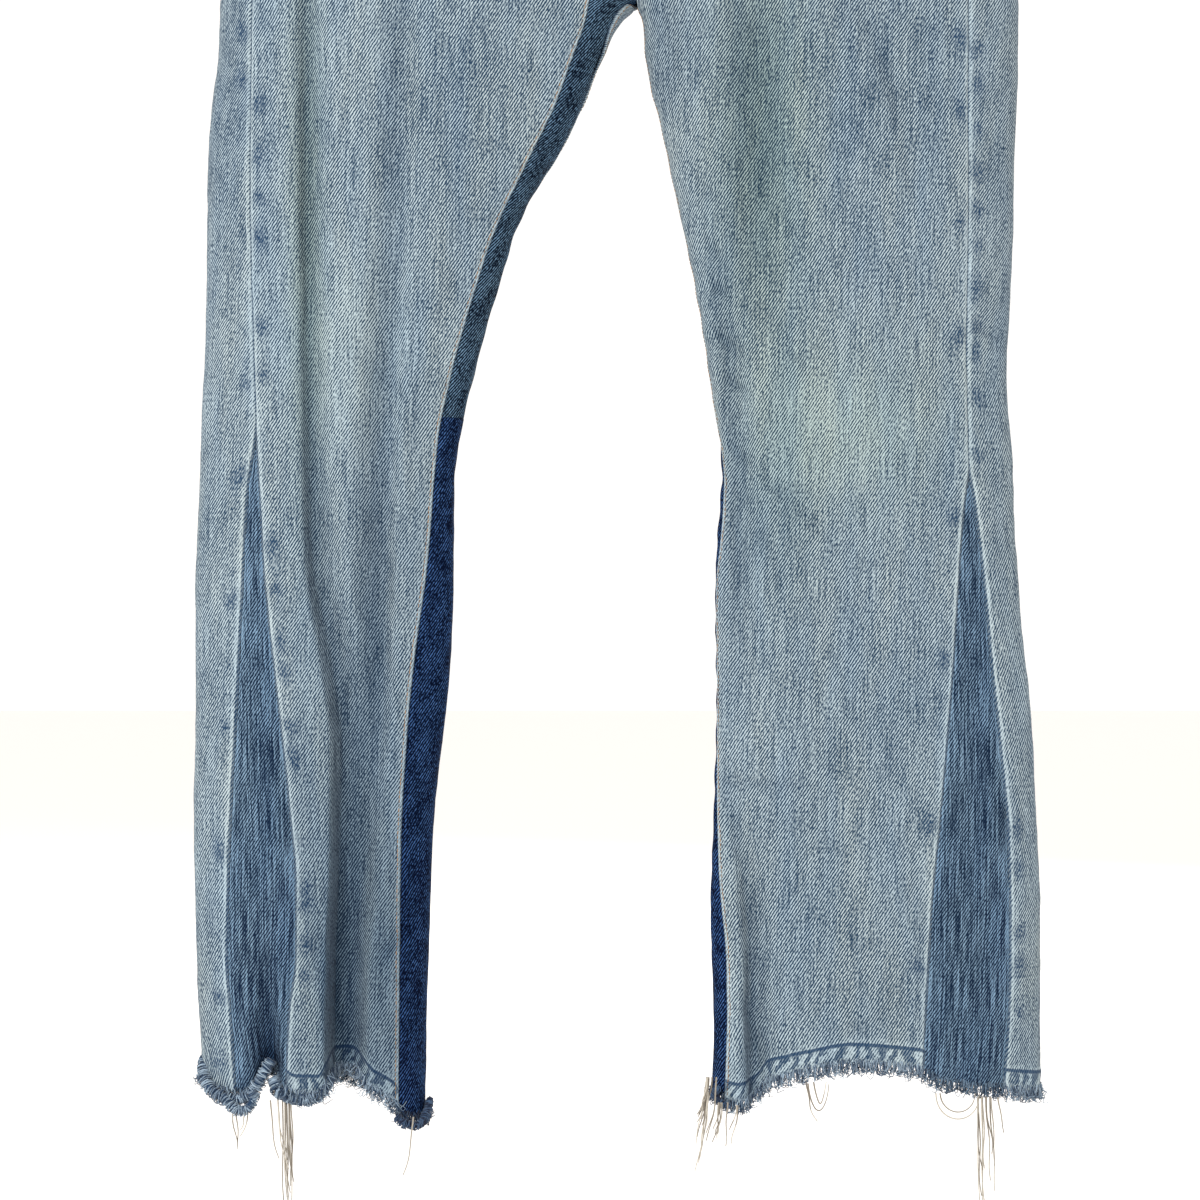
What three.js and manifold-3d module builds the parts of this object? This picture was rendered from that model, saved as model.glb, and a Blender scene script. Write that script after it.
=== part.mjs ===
// Flared jeans in washed denim, hanging open from their waistband, in millimetres.
// +Z is up, the front faces -Y and the wearer's right leg is on the -X side.
// The origin is the middle of the waist, at the top edge of the waistband, where the garment is held.
import * as THREE from 'three';
import Module from 'manifold-3d';

// Cloth and seams
const WALL = 1.2;
const SEAM_GAP = 0.3;
const LAYER_GAP = 0.6;

// Waistband and top block
const BAND_HEIGHT = 38;
const BAND_OUT = 0.9;
const BAND_IN = -1.5;
const BAND_END_X = -16;
const YOKE_SIDE = 40;
const YOKE_CENTRE = 72;
const POCKET_MOUTH_WIDTH = 108;
const POCKET_MOUTH_DROP = 64;
const FACING_WIDTH = 122;
const FACING_DROP = 80;
const TOP_BLOCK_Z = -160;

// Crotch, godets, strips and hem
const CROTCH_Z = -268;
const CROTCH_X = 7;
const STRIP_JOIN_Z = -569;
const HEM_Z = -1065;
const HEM_START_Z = -932;
const TIP_SHARE = 0.15;

// How square the sections are: 2 is an ellipse, more is boxier
const SQUARENESS = 2.3;

const table = (columns, rows) => {
  const names = columns.split(' ');
  return rows.map((row) => Object.fromEntries(names.map((name, i) => [name, row[i]])));
};

// Hip and seat. Right and left are the side silhouettes, share is the part of each half's full section
// that lies beyond the centre line, front and back are the depths off the middle plane.
const HIP = table('z right left share front back', [
  [0, -190, 190, 0.5, 33, 33],
  [-38, -199, 199, 0.5, 35, 36],
  [-100, -232, 229, 0.44, 38, 42],
  [-180, -271, 263, 0.255, 40, 46],
  [-235, -291, 280, 0.085, 39, 45],
  [CROTCH_Z, -297, 284.5, 0, 38, 42],
]);

// Depths of both legs off the middle plane
const LEG_DEPTH = table('z front back', [
  [CROTCH_Z, 38, 42],
  [-350, 35, 38],
  [-463, 32, 35],
  [-600, 28, 31],
  [-700, 27, 29],
  [-850, 28, 29],
  [-960, 30, 30],
  [-1070, 32, 32],
]);

// Silhouettes of each leg: out is the outer edge and in is the inner edge
const LEG_RIGHT = table('z out in', [
  [CROTCH_Z, -297, CROTCH_X],
  [-277, -297.2, -3.6],
  [-306, -298.2, -19.7],
  [-336, -302, -31.8],
  [-371, -305, -48.2],
  [-401, -306, -67.2],
  [-430, -306, -81],
  [-463, -306.2, -91.3],
  [-525, -308, -109.5],
  [-569, -310.3, -119.7],
  [-614, -311.5, -126.3],
  [-698, -314.6, -127],
  [-772, -314.5, -131.4],
  [-848, -315.6, -140.2],
  [-937, -314.2, -144.2],
  [-1021, -310.3, -146.7],
  [-1070, -304, -147.5],
]);
const LEG_LEFT = table('z out in', [
  [CROTCH_Z, 284.5, CROTCH_X],
  [-274, 284.5, 10.8],
  [-281, 284.5, 12.4],
  [-296, 284.4, 13.1],
  [-325, 284, 17.5],
  [-355, 282.6, 25.6],
  [-396, 281.5, 34.3],
  [-482, 279, 52.2],
  [-530, 276, 60],
  [-609, 280.7, 69],
  [-653, 282.5, 66],
  [-698, 285.4, 64.2],
  [-784, 293.8, 65],
  [-873, 298.6, 62.3],
  [-923, 300.8, 60.6],
  [-1007, 300.6, 62.8],
  [-1070, 300.8, 61.3],
]);

// Outseams: below its tip the godet opens between the inner and the outer edge
const OUTSEAM_RIGHT = table('z inner outer', [
  [-38, -180, -180],
  [-100, -211, -211],
  [-180, -248, -248],
  [-272, -269.4, -269.4],
  [-400, -270.4, -270.4],
  [-517, -268, -268],
  [STRIP_JOIN_Z, -266, -266],
  [-627, -262.8, -273.5],
  [-690, -259, -276.7],
  [-755, -251.7, -280],
  [-836, -242.5, -284.2],
  [-905, -236.5, -287],
  [-954, -236.3, -287.8],
  [-995, -241, -285],
  [-1070, -244, -280],
]);
const GODET_TIP_LEFT_Z = -597;
const OUTSEAM_LEFT = table('z inner outer', [
  [-38, 176, 176],
  [-100, 199, 199],
  [-180, 227, 227],
  [-272, 242.8, 242.8],
  [-436, 243.5, 243.5],
  [-517, 242.8, 242.8],
  [GODET_TIP_LEFT_Z, 244.2, 244.2],
  [-641, 239.6, 251],
  [-700, 235.6, 257.6],
  [-755, 231.8, 262.7],
  [-809, 227, 268.5],
  [-864, 222, 273.5],
  [-918, 216.3, 274.9],
  [-973, 213, 274.5],
  [-1070, 208, 268],
]);

// The dark strip let into each inseam. On the right leg it shows at the front, so x places its front edge
// there, and back is how deep its rear edge lies. On the left leg both edges are placed by their depth.
const STRIP_TIP_RIGHT_Z = -205;
const STRIP_RIGHT = table('z x back', [
  [STRIP_TIP_RIGHT_Z, 5.4, 0],
  [-250, -18.5, 0],
  [CROTCH_Z, -26.5, 0],
  [-303, -37, 0],
  [-348, -53.8, 4],
  [-384, -71.8, 7],
  [-436, -96.2, 10],
  [-478, -110.2, 12],
  [-535, -126.4, 14],
  [-585, -136.5, 15],
  [-676, -144.4, 17],
  [-741, -153, 18],
  [-791, -158, 19],
  [-879, -163, 21],
  [-1070, -164.5, 24],
]);
const STRIP_TIP_LEFT_Z = -222;
const STRIP_LEFT = table('z front back', [
  [STRIP_TIP_LEFT_Z, 0, 33],
  [CROTCH_Z, 0, 24],
  [-303, 0, 24],
  [-400, 2, 25],
  [-560, 1, 24],
  [-609, -5, 23],
  [-645, -7, 22],
  [-700, -4, 22],
  [-800, -4, 22],
  [-880, -9, 22],
  [-960, -14, 23],
  [-1070, -14, 25],
]);

// Lower edge of each leg, from the -X end to the +X end, at the front and at the back
const HEM_RIGHT = table('x front back', [
  [-308, -1046, -1046],
  [-283, -1056, -1050],
  [-262, -1044, -1053],
  [-252, -1038, -1054],
  [-238, -1057, -1056],
  [-219, -1059, -1058],
  [-204, -1048, -1060],
  [-186, -1056, -1062],
  [-165, -1069, -1068],
  [-143, -1072, -1072],
]);
const HEM_LEFT = table('x front back', [
  [60, -1064, -1064],
  [80, -1068, -1056],
  [101, -1051, -1048],
  [123, -1044, -1043],
  [160, -1039, -1039],
  [205, -1043, -1042],
  [219, -1050, -1046],
  [270, -1056, -1054],
  [301, -1061, -1061],
]);

// Folds, one short table each: the line that the fold follows, its depth into the leg and its half width
const fold = (rows) => table('z x depth half', rows);
const FOLDS_RIGHT = {
  front: [
    fold([
      [-225, -232, 0, 13], [-290, -230.6, 4, 13], [-560, -229.5, 5, 13], [-671, -228.5, 6.5, 14],
      [-736, -221, 7.5, 15], [-807, -209, 8, 17], [-893, -200, 9, 20], [-1070, -201, 11, 22],
    ]),
    fold([
      [-225, -158, 0, 13], [-290, -159, 2.5, 14], [-414, -163, 3.2, 15], [-593, -173.5, 5.5, 16],
      [-700, -175.7, 7, 16], [-807, -184, 5.5, 14], [-893, -196, 0, 11],
    ]),
    fold([[-930, -259, 0, 14], [-985, -258, 6, 15], [-1030, -256, 13, 16], [-1070, -255, 16, 16]]),
  ],
  back: [
    fold([[-420, -250, 0, 16], [-560, -248, 4, 17], [-800, -240, 6, 19], [-1070, -236, 8, 22]]),
    fold([[-250, -170, 0, 16], [-400, -178, 4, 17], [-700, -186, 5, 17], [-1070, -184, 7, 18]]),
  ],
};
const FOLDS_LEFT = {
  front: [
    fold([
      [-430, 63, 0, 10], [-480, 66.5, 2.5, 10], [-545, 74, 4, 11], [-654, 80, 4, 12], [-770, 81, 0, 12],
    ]),
    fold([
      [-800, 66, 0, 10], [-853, 75.7, 3, 11], [-902, 85, 5, 12], [-946, 89, 7, 13], [-1070, 91.5, 10, 14],
    ]),
    fold([[-235, 92, 0, 30], [-300, 91, 4, 30], [-420, 92, 3, 28], [-520, 95, 0, 26]]),
  ],
  back: [
    fold([[-360, 225, 0, 18], [-560, 222, 5, 18], [-800, 226, 6, 20], [-1070, 232, 8, 22]]),
    fold([[-520, 128, 0, 15], [-700, 126, 4, 16], [-900, 128, 6, 18], [-1070, 126, 8, 18]]),
  ],
};

const SIDES = {
  right: {
    out: -1, leg: LEG_RIGHT, outseam: OUTSEAM_RIGHT, hem: HEM_RIGHT, folds: FOLDS_RIGHT,
    stripTipZ: STRIP_TIP_RIGHT_Z, godetTipZ: STRIP_JOIN_Z,
  },
  left: {
    out: 1, leg: LEG_LEFT, outseam: OUTSEAM_LEFT, hem: HEM_LEFT, folds: FOLDS_LEFT,
    stripTipZ: STRIP_TIP_LEFT_Z, godetTipZ: GODET_TIP_LEFT_Z,
  },
};

// Levels of the rows of points, top to bottom
const TOP_LEVELS = [-60, -84, -108, -134, TOP_BLOCK_Z, -183, STRIP_TIP_RIGHT_Z, STRIP_TIP_LEFT_Z, -238,
  -254, CROTCH_Z];
const LEG_LEVELS = [-282, -303, -336, -371, -408, -448, -488, -530, STRIP_JOIN_Z, GODET_TIP_LEFT_Z, -630,
  -665, -700, -736, -772, -810, -850, -890, HEM_START_Z, -968, -1002, -1035, HEM_Z];
const PANEL_TOP_Z = -BAND_HEIGHT - SEAM_GAP;
const PANEL_LEVELS = [PANEL_TOP_Z, ...TOP_LEVELS, ...LEG_LEVELS];

const FRONT_COLUMNS = 15;
const BACK_COLUMNS = 12;
const STRIP_COLUMNS = 3;
const GODET_COLUMNS = 4;

const COLOURS = {
  light: 0x8fa0ab, strip: 0x22304f, stripUpper: 0x37465c, godet: 0x4a6076, brass: 0x8d7a52, fray: 0xb9c0c4,
};

const { clamp, lerp, smoothstep } = THREE.MathUtils;

// Smooth reading of a table: the curve passes through the rows and never overshoots them
function read(rows, column, at, key = 'z') {
  const last = rows.length - 1;
  const down = rows[0][key] > rows[last][key];
  const before = (a, b) => (down ? a >= b : a <= b);
  if (before(at, rows[0][key])) return rows[0][column];
  if (before(rows[last][key], at)) return rows[last][column];
  let i = 0;
  while (before(rows[i + 1][key], at)) i += 1;
  const rise = (k) => (rows[k + 1][column] - rows[k][column]) / (rows[k + 1][key] - rows[k][key]);
  const ease = (p, q) => (p * q > 0 ? (2 * p * q) / (p + q) : 0);
  const here = rise(i);
  const startSlope = i > 0 ? ease(rise(i - 1), here) : here;
  const endSlope = i < last - 1 ? ease(here, rise(i + 1)) : here;
  const span = rows[i + 1][key] - rows[i][key];
  const t = (at - rows[i][key]) / span;
  return (2 * t ** 3 - 3 * t ** 2 + 1) * rows[i][column]
    + (t ** 3 - 2 * t ** 2 + t) * span * startSlope
    + (3 * t ** 2 - 2 * t ** 3) * rows[i + 1][column]
    + (t ** 3 - t ** 2) * span * endSlope;
}

const centreX = (z) => CROTCH_X * clamp(z / CROTCH_Z, 0, 1);
const power = (value, exponent) => Math.sign(value) * Math.abs(value) ** exponent;

// The section of one leg, or of one half of the hip, at a level
function section(side, z) {
  const outer = z > CROTCH_Z ? read(HIP, side.out < 0 ? 'right' : 'left', z) : read(side.leg, 'out', z);
  const depths = z > CROTCH_Z ? HIP : LEG_DEPTH;
  const front = read(depths, 'front', z);
  const back = read(depths, 'back', z);
  let inner = read(side.leg, 'in', z);
  let cut = Math.PI / 2;
  if (z > CROTCH_Z) {
    const share = read(HIP, 'share', z);
    inner = outer + (centreX(z) - outer) / (1 - share);
    cut = Math.asin((1 - 2 * share) ** (SQUARENESS / 2));
  }
  return { middle: (outer + inner) / 2, half: Math.abs(outer - inner) / 2, front, back, cut };
}

// Angles run round a section: 0 at the front, a quarter turn at the outer edge, half a turn at the back
// and minus a quarter turn at the inner edge.
function angleAtX(side, z, x) {
  const { middle, half } = section(side, z);
  const across = clamp((x - middle) * side.out / half, -1, 1);
  return Math.asin(power(across, SQUARENESS / 2));
}

function angleAtDepth(side, z, depth) {
  const { front, back } = section(side, z);
  const reach = depth < 0 ? front : back;
  return -Math.PI / 2 - Math.asin(power(clamp(depth / reach, -1, 1), SQUARENESS / 2));
}

function stripFront(side, z) {
  return side.out < 0 ? angleAtX(side, z, read(STRIP_RIGHT, 'x', z))
    : angleAtDepth(side, z, read(STRIP_LEFT, 'front', z));
}

function stripBack(side, z) {
  return angleAtDepth(side, z, read(side.out < 0 ? STRIP_RIGHT : STRIP_LEFT, 'back', z));
}

// Edges of each panel, as angles at a level
function outseam(side, z, edge) {
  return angleAtX(side, z, read(side.outseam, z < side.godetTipZ ? edge : 'inner', z));
}

const EDGES = {
  front: (side, z) => {
    const tip = side.out < 0 ? side.stripTipZ : CROTCH_Z;
    return [z > tip ? -section(side, z).cut : stripFront(side, z), outseam(side, z, 'inner')];
  },
  godet: (side, z) => [outseam(side, z, 'inner'), outseam(side, z, 'outer')],
  back: (side, z) => {
    const tip = side.out < 0 ? CROTCH_Z : side.stripTipZ;
    const inner = z > tip ? Math.PI + section(side, z).cut : 2 * Math.PI + stripBack(side, z);
    return [outseam(side, z, 'outer'), inner];
  },
  strip: (side, z) => {
    const { cut } = section(side, z);
    if (z <= CROTCH_Z) return [stripBack(side, z), stripFront(side, z)];
    return side.out < 0 ? [-cut, stripFront(side, z)] : [stripBack(side, z), cut - Math.PI];
  },
};

function foldDepth(folds, x, z) {
  let depth = 0;
  for (const rows of folds) {
    const inside = z < rows[0].z;
    const offset = Math.abs(x - read(rows, 'x', z)) / read(rows, 'half', z);
    if (inside && offset < 1) depth += read(rows, 'depth', z) * (0.5 + 0.5 * Math.cos(Math.PI * offset));
  }
  return depth;
}

// A point of the cloth's outer face
function clothPoint(side, z, angle) {
  const { middle, half, front, back } = section(side, z);
  const bend = 2 / SQUARENESS;
  const x = middle + side.out * half * power(Math.sin(angle), bend);
  const facing = power(Math.cos(angle), bend);
  const folds = facing > 0 ? side.folds.front : side.folds.back;
  const y = -facing * (facing > 0 ? front : back);
  const pressed = Math.min(1, 1.6 * Math.abs(facing)) * Math.sign(facing);
  return new THREE.Vector3(x, y + pressed * foldDepth(folds, x, z), z);
}

function clothNormal(side, z, angle) {
  const turn = 0.01;
  const rise = 1.5;
  const round = clothPoint(side, z, angle + turn).sub(clothPoint(side, z, angle - turn));
  const up = clothPoint(side, z + rise, angle).sub(clothPoint(side, z - rise, angle));
  return round.cross(up).multiplyScalar(side.out).normalize();
}

// Angles that share a stretch of the section evenly, each end pulled back by half a seam gap
function spread(side, z, [start, end], columns, gap = SEAM_GAP) {
  const samples = 36;
  const lengths = [0];
  let previous = clothPoint(side, z, start);
  for (let i = 1; i <= samples; i += 1) {
    const point = clothPoint(side, z, lerp(start, end, i / samples));
    lengths.push(lengths[i - 1] + point.distanceTo(previous));
    previous = point;
  }
  const total = lengths[samples];
  const angles = [];
  for (let j = 0; j <= columns; j += 1) {
    const wanted = clamp((total * j) / columns, gap / 2, total - gap / 2);
    let i = 0;
    while (i < samples - 1 && lengths[i + 1] < wanted) i += 1;
    const part = (wanted - lengths[i]) / (lengths[i + 1] - lengths[i]);
    angles.push(lerp(start, end, (i + part) / samples));
  }
  return angles;
}

// Lower edge of the cloth at a place on the leg, eased from the front's line to the back's round the edges
function hemLevel(side, point, angle) {
  const behind = smoothstep(-Math.cos(angle), -0.3, 0.3);
  const front = read(side.hem, 'front', point.x, 'x');
  return lerp(front, read(side.hem, 'back', point.x, 'x'), behind);
}

// Moves a level so that the rows near the hem follow the hem's line
function towardsHem(side, z, angle) {
  if (z >= HEM_START_Z) return z;
  const hem = hemLevel(side, clothPoint(side, z, angle), angle);
  return HEM_START_Z + (z - HEM_START_Z) * (hem - HEM_START_Z) / (HEM_Z - HEM_START_Z);
}

// Moves a level so that the rows of the top block start at the panel's own upper edge
const fromTop = (z, top) => (z <= TOP_BLOCK_Z ? z
  : lerp(TOP_BLOCK_Z, top, (z - TOP_BLOCK_Z) / (PANEL_TOP_Z - TOP_BLOCK_Z)));

// A grid of points and normals: one row for each level, one column for each share of the width
function panelGrid(side, levels, columns, edges, topOf = () => PANEL_TOP_Z) {
  return levels.map((level) => {
    const row = [];
    for (let j = 0; j <= columns; j += 1) {
      const top = fromTop(level, topOf(j / columns));
      const z = towardsHem(side, top, spread(side, top, edges(side, top), columns)[j]);
      const angle = spread(side, z, edges(side, z), columns)[j];
      row.push({ point: clothPoint(side, z, angle), normal: clothNormal(side, z, angle) });
    }
    return row;
  });
}

// A grid that starts near a point where both edges meet: its first row is a short way down from that tip
function tippedGrid(side, tipZ, levels, columns, edges) {
  const grid = panelGrid(side, levels, columns, edges);
  const angle = edges(side, tipZ)[0];
  const point = clothPoint(side, tipZ, angle);
  const normal = clothNormal(side, tipZ, angle);
  const first = grid[0].map((cell) => ({
    point: point.clone().lerp(cell.point, TIP_SHARE),
    normal: normal.clone().lerp(cell.normal, TIP_SHARE).normalize(),
  }));
  return [first, ...grid];
}

// Closed wall between two offsets along the normals of a grid
function wallGeometry(grid, outer, inner, flipped) {
  const rows = grid.length;
  const columns = grid[0].length;
  const positions = [];
  for (const offset of [outer, inner]) {
    for (const row of grid) {
      for (const { point, normal } of row) {
        positions.push(...point.clone().addScaledVector(normal, offset).toArray());
      }
    }
  }
  const index = (layer, i, j) => layer * rows * columns + i * columns + j;
  const faces = [];
  const quad = (a, b, c, d) => faces.push([a, b, c], [a, c, d]);
  for (let i = 0; i < rows - 1; i += 1) {
    for (let j = 0; j < columns - 1; j += 1) {
      quad(index(0, i, j), index(0, i + 1, j), index(0, i + 1, j + 1), index(0, i, j + 1));
      quad(index(1, i, j), index(1, i, j + 1), index(1, i + 1, j + 1), index(1, i + 1, j));
    }
    quad(index(0, i, 0), index(1, i, 0), index(1, i + 1, 0), index(0, i + 1, 0));
    const j = columns - 1;
    quad(index(0, i, j), index(0, i + 1, j), index(1, i + 1, j), index(1, i, j));
  }
  for (let j = 0; j < columns - 1; j += 1) {
    quad(index(0, 0, j), index(0, 0, j + 1), index(1, 0, j + 1), index(1, 0, j));
    const i = rows - 1;
    quad(index(0, i, j), index(1, i, j), index(1, i, j + 1), index(0, i, j + 1));
  }
  return meshGeometry(positions, faces.flatMap(([a, b, c]) => (flipped ? [a, c, b] : [a, b, c])));
}

function meshGeometry(positions, indices) {
  const geometry = new THREE.BufferGeometry();
  geometry.setAttribute('position', new THREE.Float32BufferAttribute(positions, 3));
  geometry.setIndex(indices);
  geometry.computeVertexNormals();
  return geometry;
}

const jeans = new THREE.Group();

function add(name, geometry, colour, metalness = 0) {
  const material = new THREE.MeshStandardMaterial({ color: colour, roughness: 0.9, metalness });
  const mesh = new THREE.Mesh(geometry, material);
  mesh.name = name;
  jeans.add(mesh);
  return mesh;
}

const addWall = (name, side, grid, colour, outer = 0, inner = -WALL) => add(
  name, wallGeometry(grid, outer, inner, side.out < 0), colour);

// Upper edge of a front panel: the pocket mouth is scooped out of its outer corner
function frontTop(side) {
  const [start, end] = EDGES.front(side, -70);
  const width = clothPoint(side, -70, start).distanceTo(clothPoint(side, -70, end));
  return (share) => {
    const fromSeam = (1 - share) * width / POCKET_MOUTH_WIDTH;
    return PANEL_TOP_Z - POCKET_MOUTH_DROP * Math.sqrt(Math.max(0, 1 - fromSeam ** 2.2));
  };
}

const yokeLine = (share) => -BAND_HEIGHT - lerp(YOKE_SIDE, YOKE_CENTRE, share ** 1.3);

function addPanels(name, side) {
  const grids = {
    front: panelGrid(side, PANEL_LEVELS, FRONT_COLUMNS, EDGES.front, frontTop(side)),
    back: panelGrid(side, PANEL_LEVELS, BACK_COLUMNS, EDGES.back, (share) => yokeLine(share) - SEAM_GAP),
    godet: tippedGrid(side, side.godetTipZ, LEG_LEVELS.filter((z) => z < side.godetTipZ),
      GODET_COLUMNS, EDGES.godet),
  };
  addWall(`front_${name}`, side, grids.front, COLOURS.light);
  addWall(`back_${name}`, side, grids.back, COLOURS.light);
  addWall(`godet_${name}`, side, grids.godet, COLOURS.godet);

  const halfGap = SEAM_GAP / 2;
  const upper = PANEL_LEVELS.filter((z) => z < side.stripTipZ && z > STRIP_JOIN_Z);
  const lower = LEG_LEVELS.filter((z) => z < STRIP_JOIN_Z);
  grids.stripUpper = tippedGrid(side, side.stripTipZ, [...upper, STRIP_JOIN_Z + halfGap],
    STRIP_COLUMNS, EDGES.strip);
  grids.strip = panelGrid(side, [STRIP_JOIN_Z - halfGap, ...lower], STRIP_COLUMNS, EDGES.strip);
  addWall(`inseam_strip_${name}_upper`, side, grids.stripUpper, COLOURS.stripUpper);
  addWall(`inseam_strip_${name}_lower`, side, grids.strip, COLOURS.strip);
  return grids;
}

function addYoke(name, side) {
  const rows = 3;
  const columns = BACK_COLUMNS;
  const grid = [];
  for (let i = 0; i <= rows; i += 1) {
    const row = [];
    for (let j = 0; j <= columns; j += 1) {
      const z = lerp(PANEL_TOP_Z, yokeLine(j / columns), i / rows);
      const angle = spread(side, z, EDGES.back(side, z), columns)[j];
      row.push({ point: clothPoint(side, z, angle), normal: clothNormal(side, z, angle) });
    }
    grid.push(row);
  }
  addWall(`yoke_${name}`, side, grid, COLOURS.light);
}

// The facing fills the pocket mouth from behind, one layer further in than the front panel
function addPocketFacing(name, side) {
  const rows = 4;
  const columns = 8;
  const grid = [];
  for (let i = 0; i <= rows; i += 1) {
    const z = lerp(PANEL_TOP_Z, PANEL_TOP_Z - FACING_DROP, i / rows);
    const end = outseam(side, z, 'inner');
    const seam = clothPoint(side, z, end);
    const start = angleAtX(side, z, seam.x - side.out * FACING_WIDTH);
    const angles = spread(side, z, [start, end], columns);
    grid.push(angles.map((angle) => (
      { point: clothPoint(side, z, angle), normal: clothNormal(side, z, angle) })));
  }
  const depth = -WALL - LAYER_GAP;
  addWall(`pocket_facing_${name}`, side, grid, COLOURS.light, depth, depth - WALL);
}

// Point and normal between the points of a panel's grid
function between(grid, i, j) {
  const row = clamp(Math.floor(i), 0, grid.length - 2);
  const column = clamp(Math.floor(j), 0, grid[0].length - 2);
  const mix = (key) => {
    const upper = grid[row][column][key].clone().lerp(grid[row][column + 1][key], j - column);
    const lower = grid[row + 1][column][key].clone().lerp(grid[row + 1][column + 1][key], j - column);
    return upper.lerp(lower, i - row);
  };
  return { point: mix('point'), normal: mix('normal').normalize() };
}

// A back pocket lies on the panel: rows and columns are counted in the panel's own grid
const BACK_POCKET = table('row left right point', [
  [1.9, 4.9, 9.9, 0], [3, 4.95, 9.85, 0], [4, 5, 9.8, 0], [5, 5.05, 9.75, 0], [6, 5.1, 9.7, 0],
  [7, 5.15, 9.65, 0], [8.2, 5.2, 9.6, 0.9],
]);
const POCKET_COLUMNS = 6;

function addBackPocket(name, side, back) {
  const grid = BACK_POCKET.map(({ row, left, right, point }) => {
    const cells = [];
    for (let j = 0; j <= POCKET_COLUMNS; j += 1) {
      const share = j / POCKET_COLUMNS;
      const drop = point * (1 - Math.abs(2 * share - 1));
      cells.push(between(back, row + drop, lerp(left, right, share)));
    }
    return cells;
  });
  addWall(`back_pocket_${name}`, side, grid, COLOURS.light, LAYER_GAP + WALL, LAYER_GAP);
}

// The waist is one full section, so the band and what sits on it use the left half's section all round
const waist = SIDES.left;

function addWaistband() {
  const columns = 40;
  const levels = [0, -BAND_HEIGHT / 2, -BAND_HEIGHT];
  const grid = levels.map((z) => {
    const start = angleAtX(waist, z, BAND_END_X);
    return spread(waist, z, [start, start + 2 * Math.PI], columns).map((angle) => {
      const level = clothNormal(waist, z, angle).setZ(0).normalize();
      return { point: clothPoint(waist, z, angle), normal: level };
    });
  });
  addWall('waistband', waist, grid, COLOURS.light, BAND_OUT, BAND_IN);
}

const LOOP_WIDTH = 11;
const LOOP_THICKNESS = 1.5;
const BELT_LOOPS = table('side x back', [
  ['right', -100, false], ['left', 100, false], ['left', 122, true], ['left', 0, true], ['right', -122, true],
]);
const LOOP_PROFILE = table('z off', [
  [-0.5, 1.5], [-8, 2.6], [-19, 3.4], [-31, 2.6], [-39.5, 1.7], [-50, 0.8],
]);

function addBeltLoops() {
  BELT_LOOPS.forEach(({ side, x, back }, number) => {
    const angleAt = (z) => {
      const angle = angleAtX(SIDES[side], z, x);
      return back ? Math.PI - angle : angle;
    };
    const grid = LOOP_PROFILE.map(({ z, off }) => {
      const point = clothPoint(SIDES[side], z, angleAt(z));
      const normal = clothNormal(SIDES[side], -BAND_HEIGHT / 2, angleAt(-BAND_HEIGHT / 2));
      const along = new THREE.Vector3(-normal.y, normal.x, 0).normalize();
      const centre = new THREE.Vector3(point.x, point.y, z).addScaledVector(normal, off);
      return [-1, 1].map((hand) => (
        { point: centre.clone().addScaledVector(along, hand * LOOP_WIDTH / 2), normal }));
    });
    addWall(`belt_loop_${number + 1}`, waist, grid, COLOURS.light, LOOP_THICKNESS, 0);
  });
}

const BUTTON_RADIUS = 8.5;
const BUTTON_HEIGHT = 3.6;
const BUTTON_SIDES = 18;

function addButton() {
  const profile = [
    [0, 0], [5, 0], [5, 1.2], [BUTTON_RADIUS - 0.6, 1.2], [BUTTON_RADIUS, 1.9], [BUTTON_RADIUS - 0.3, 3.1],
    [BUTTON_RADIUS - 1.4, BUTTON_HEIGHT], [BUTTON_RADIUS - 2.4, 3.1], [0, 3],
  ].map(([x, y]) => new THREE.Vector2(x, y));
  const mesh = add('waist_button', new THREE.LatheGeometry(profile, BUTTON_SIDES), COLOURS.brass, 0.8);
  const z = -BAND_HEIGHT / 2;
  const seat = clothPoint(waist, z, angleAtX(waist, z, 0));
  mesh.position.set(0, seat.y - BAND_OUT - SEAM_GAP, z);
  mesh.rotation.x = Math.PI;
}

// Frayed hems: a narrow band just below the cloth's edge carries short frayed yarns and a few long threads
const FRAY_BAND = 2.2;
const FRAY_THICKNESS = 1;
const FRAY_COUNT = 42;
const YARN = 0.9;
const YARN_SIDES = 3;
const LONG_THREADS = {
  right: table('x length lean', [
    [-247, 84, -2], [-243, 70, 3], [-240, 52, 6], [-283, 30, 2], [-272, 20, -5], [-154, 52, -7],
  ]),
  left: table('x length lean', [
    [66, 66, -9], [70, 42, -4], [75, 30, -7], [80, 24, -2], [130, 26, 6], [252, 72, 4], [256, 84, 2],
    [260, 46, 1], [264, 22, 5],
  ]),
};

function seededShares(seed) {
  let state = seed;
  return () => {
    state = (state * 16807) % 2147483647;
    return state / 2147483647;
  };
}

const wasm = await Module();
wasm.setup();

function toSolid(geometry) {
  return new wasm.Manifold(new wasm.Mesh({
    numProp: 3,
    vertProperties: new Float32Array(geometry.getAttribute('position').array),
    triVerts: new Uint32Array(geometry.getIndex().array),
  }));
}

function fromSolid(solid) {
  const mesh = solid.getMesh();
  return meshGeometry(Array.from(mesh.vertProperties), Array.from(mesh.triVerts));
}

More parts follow.
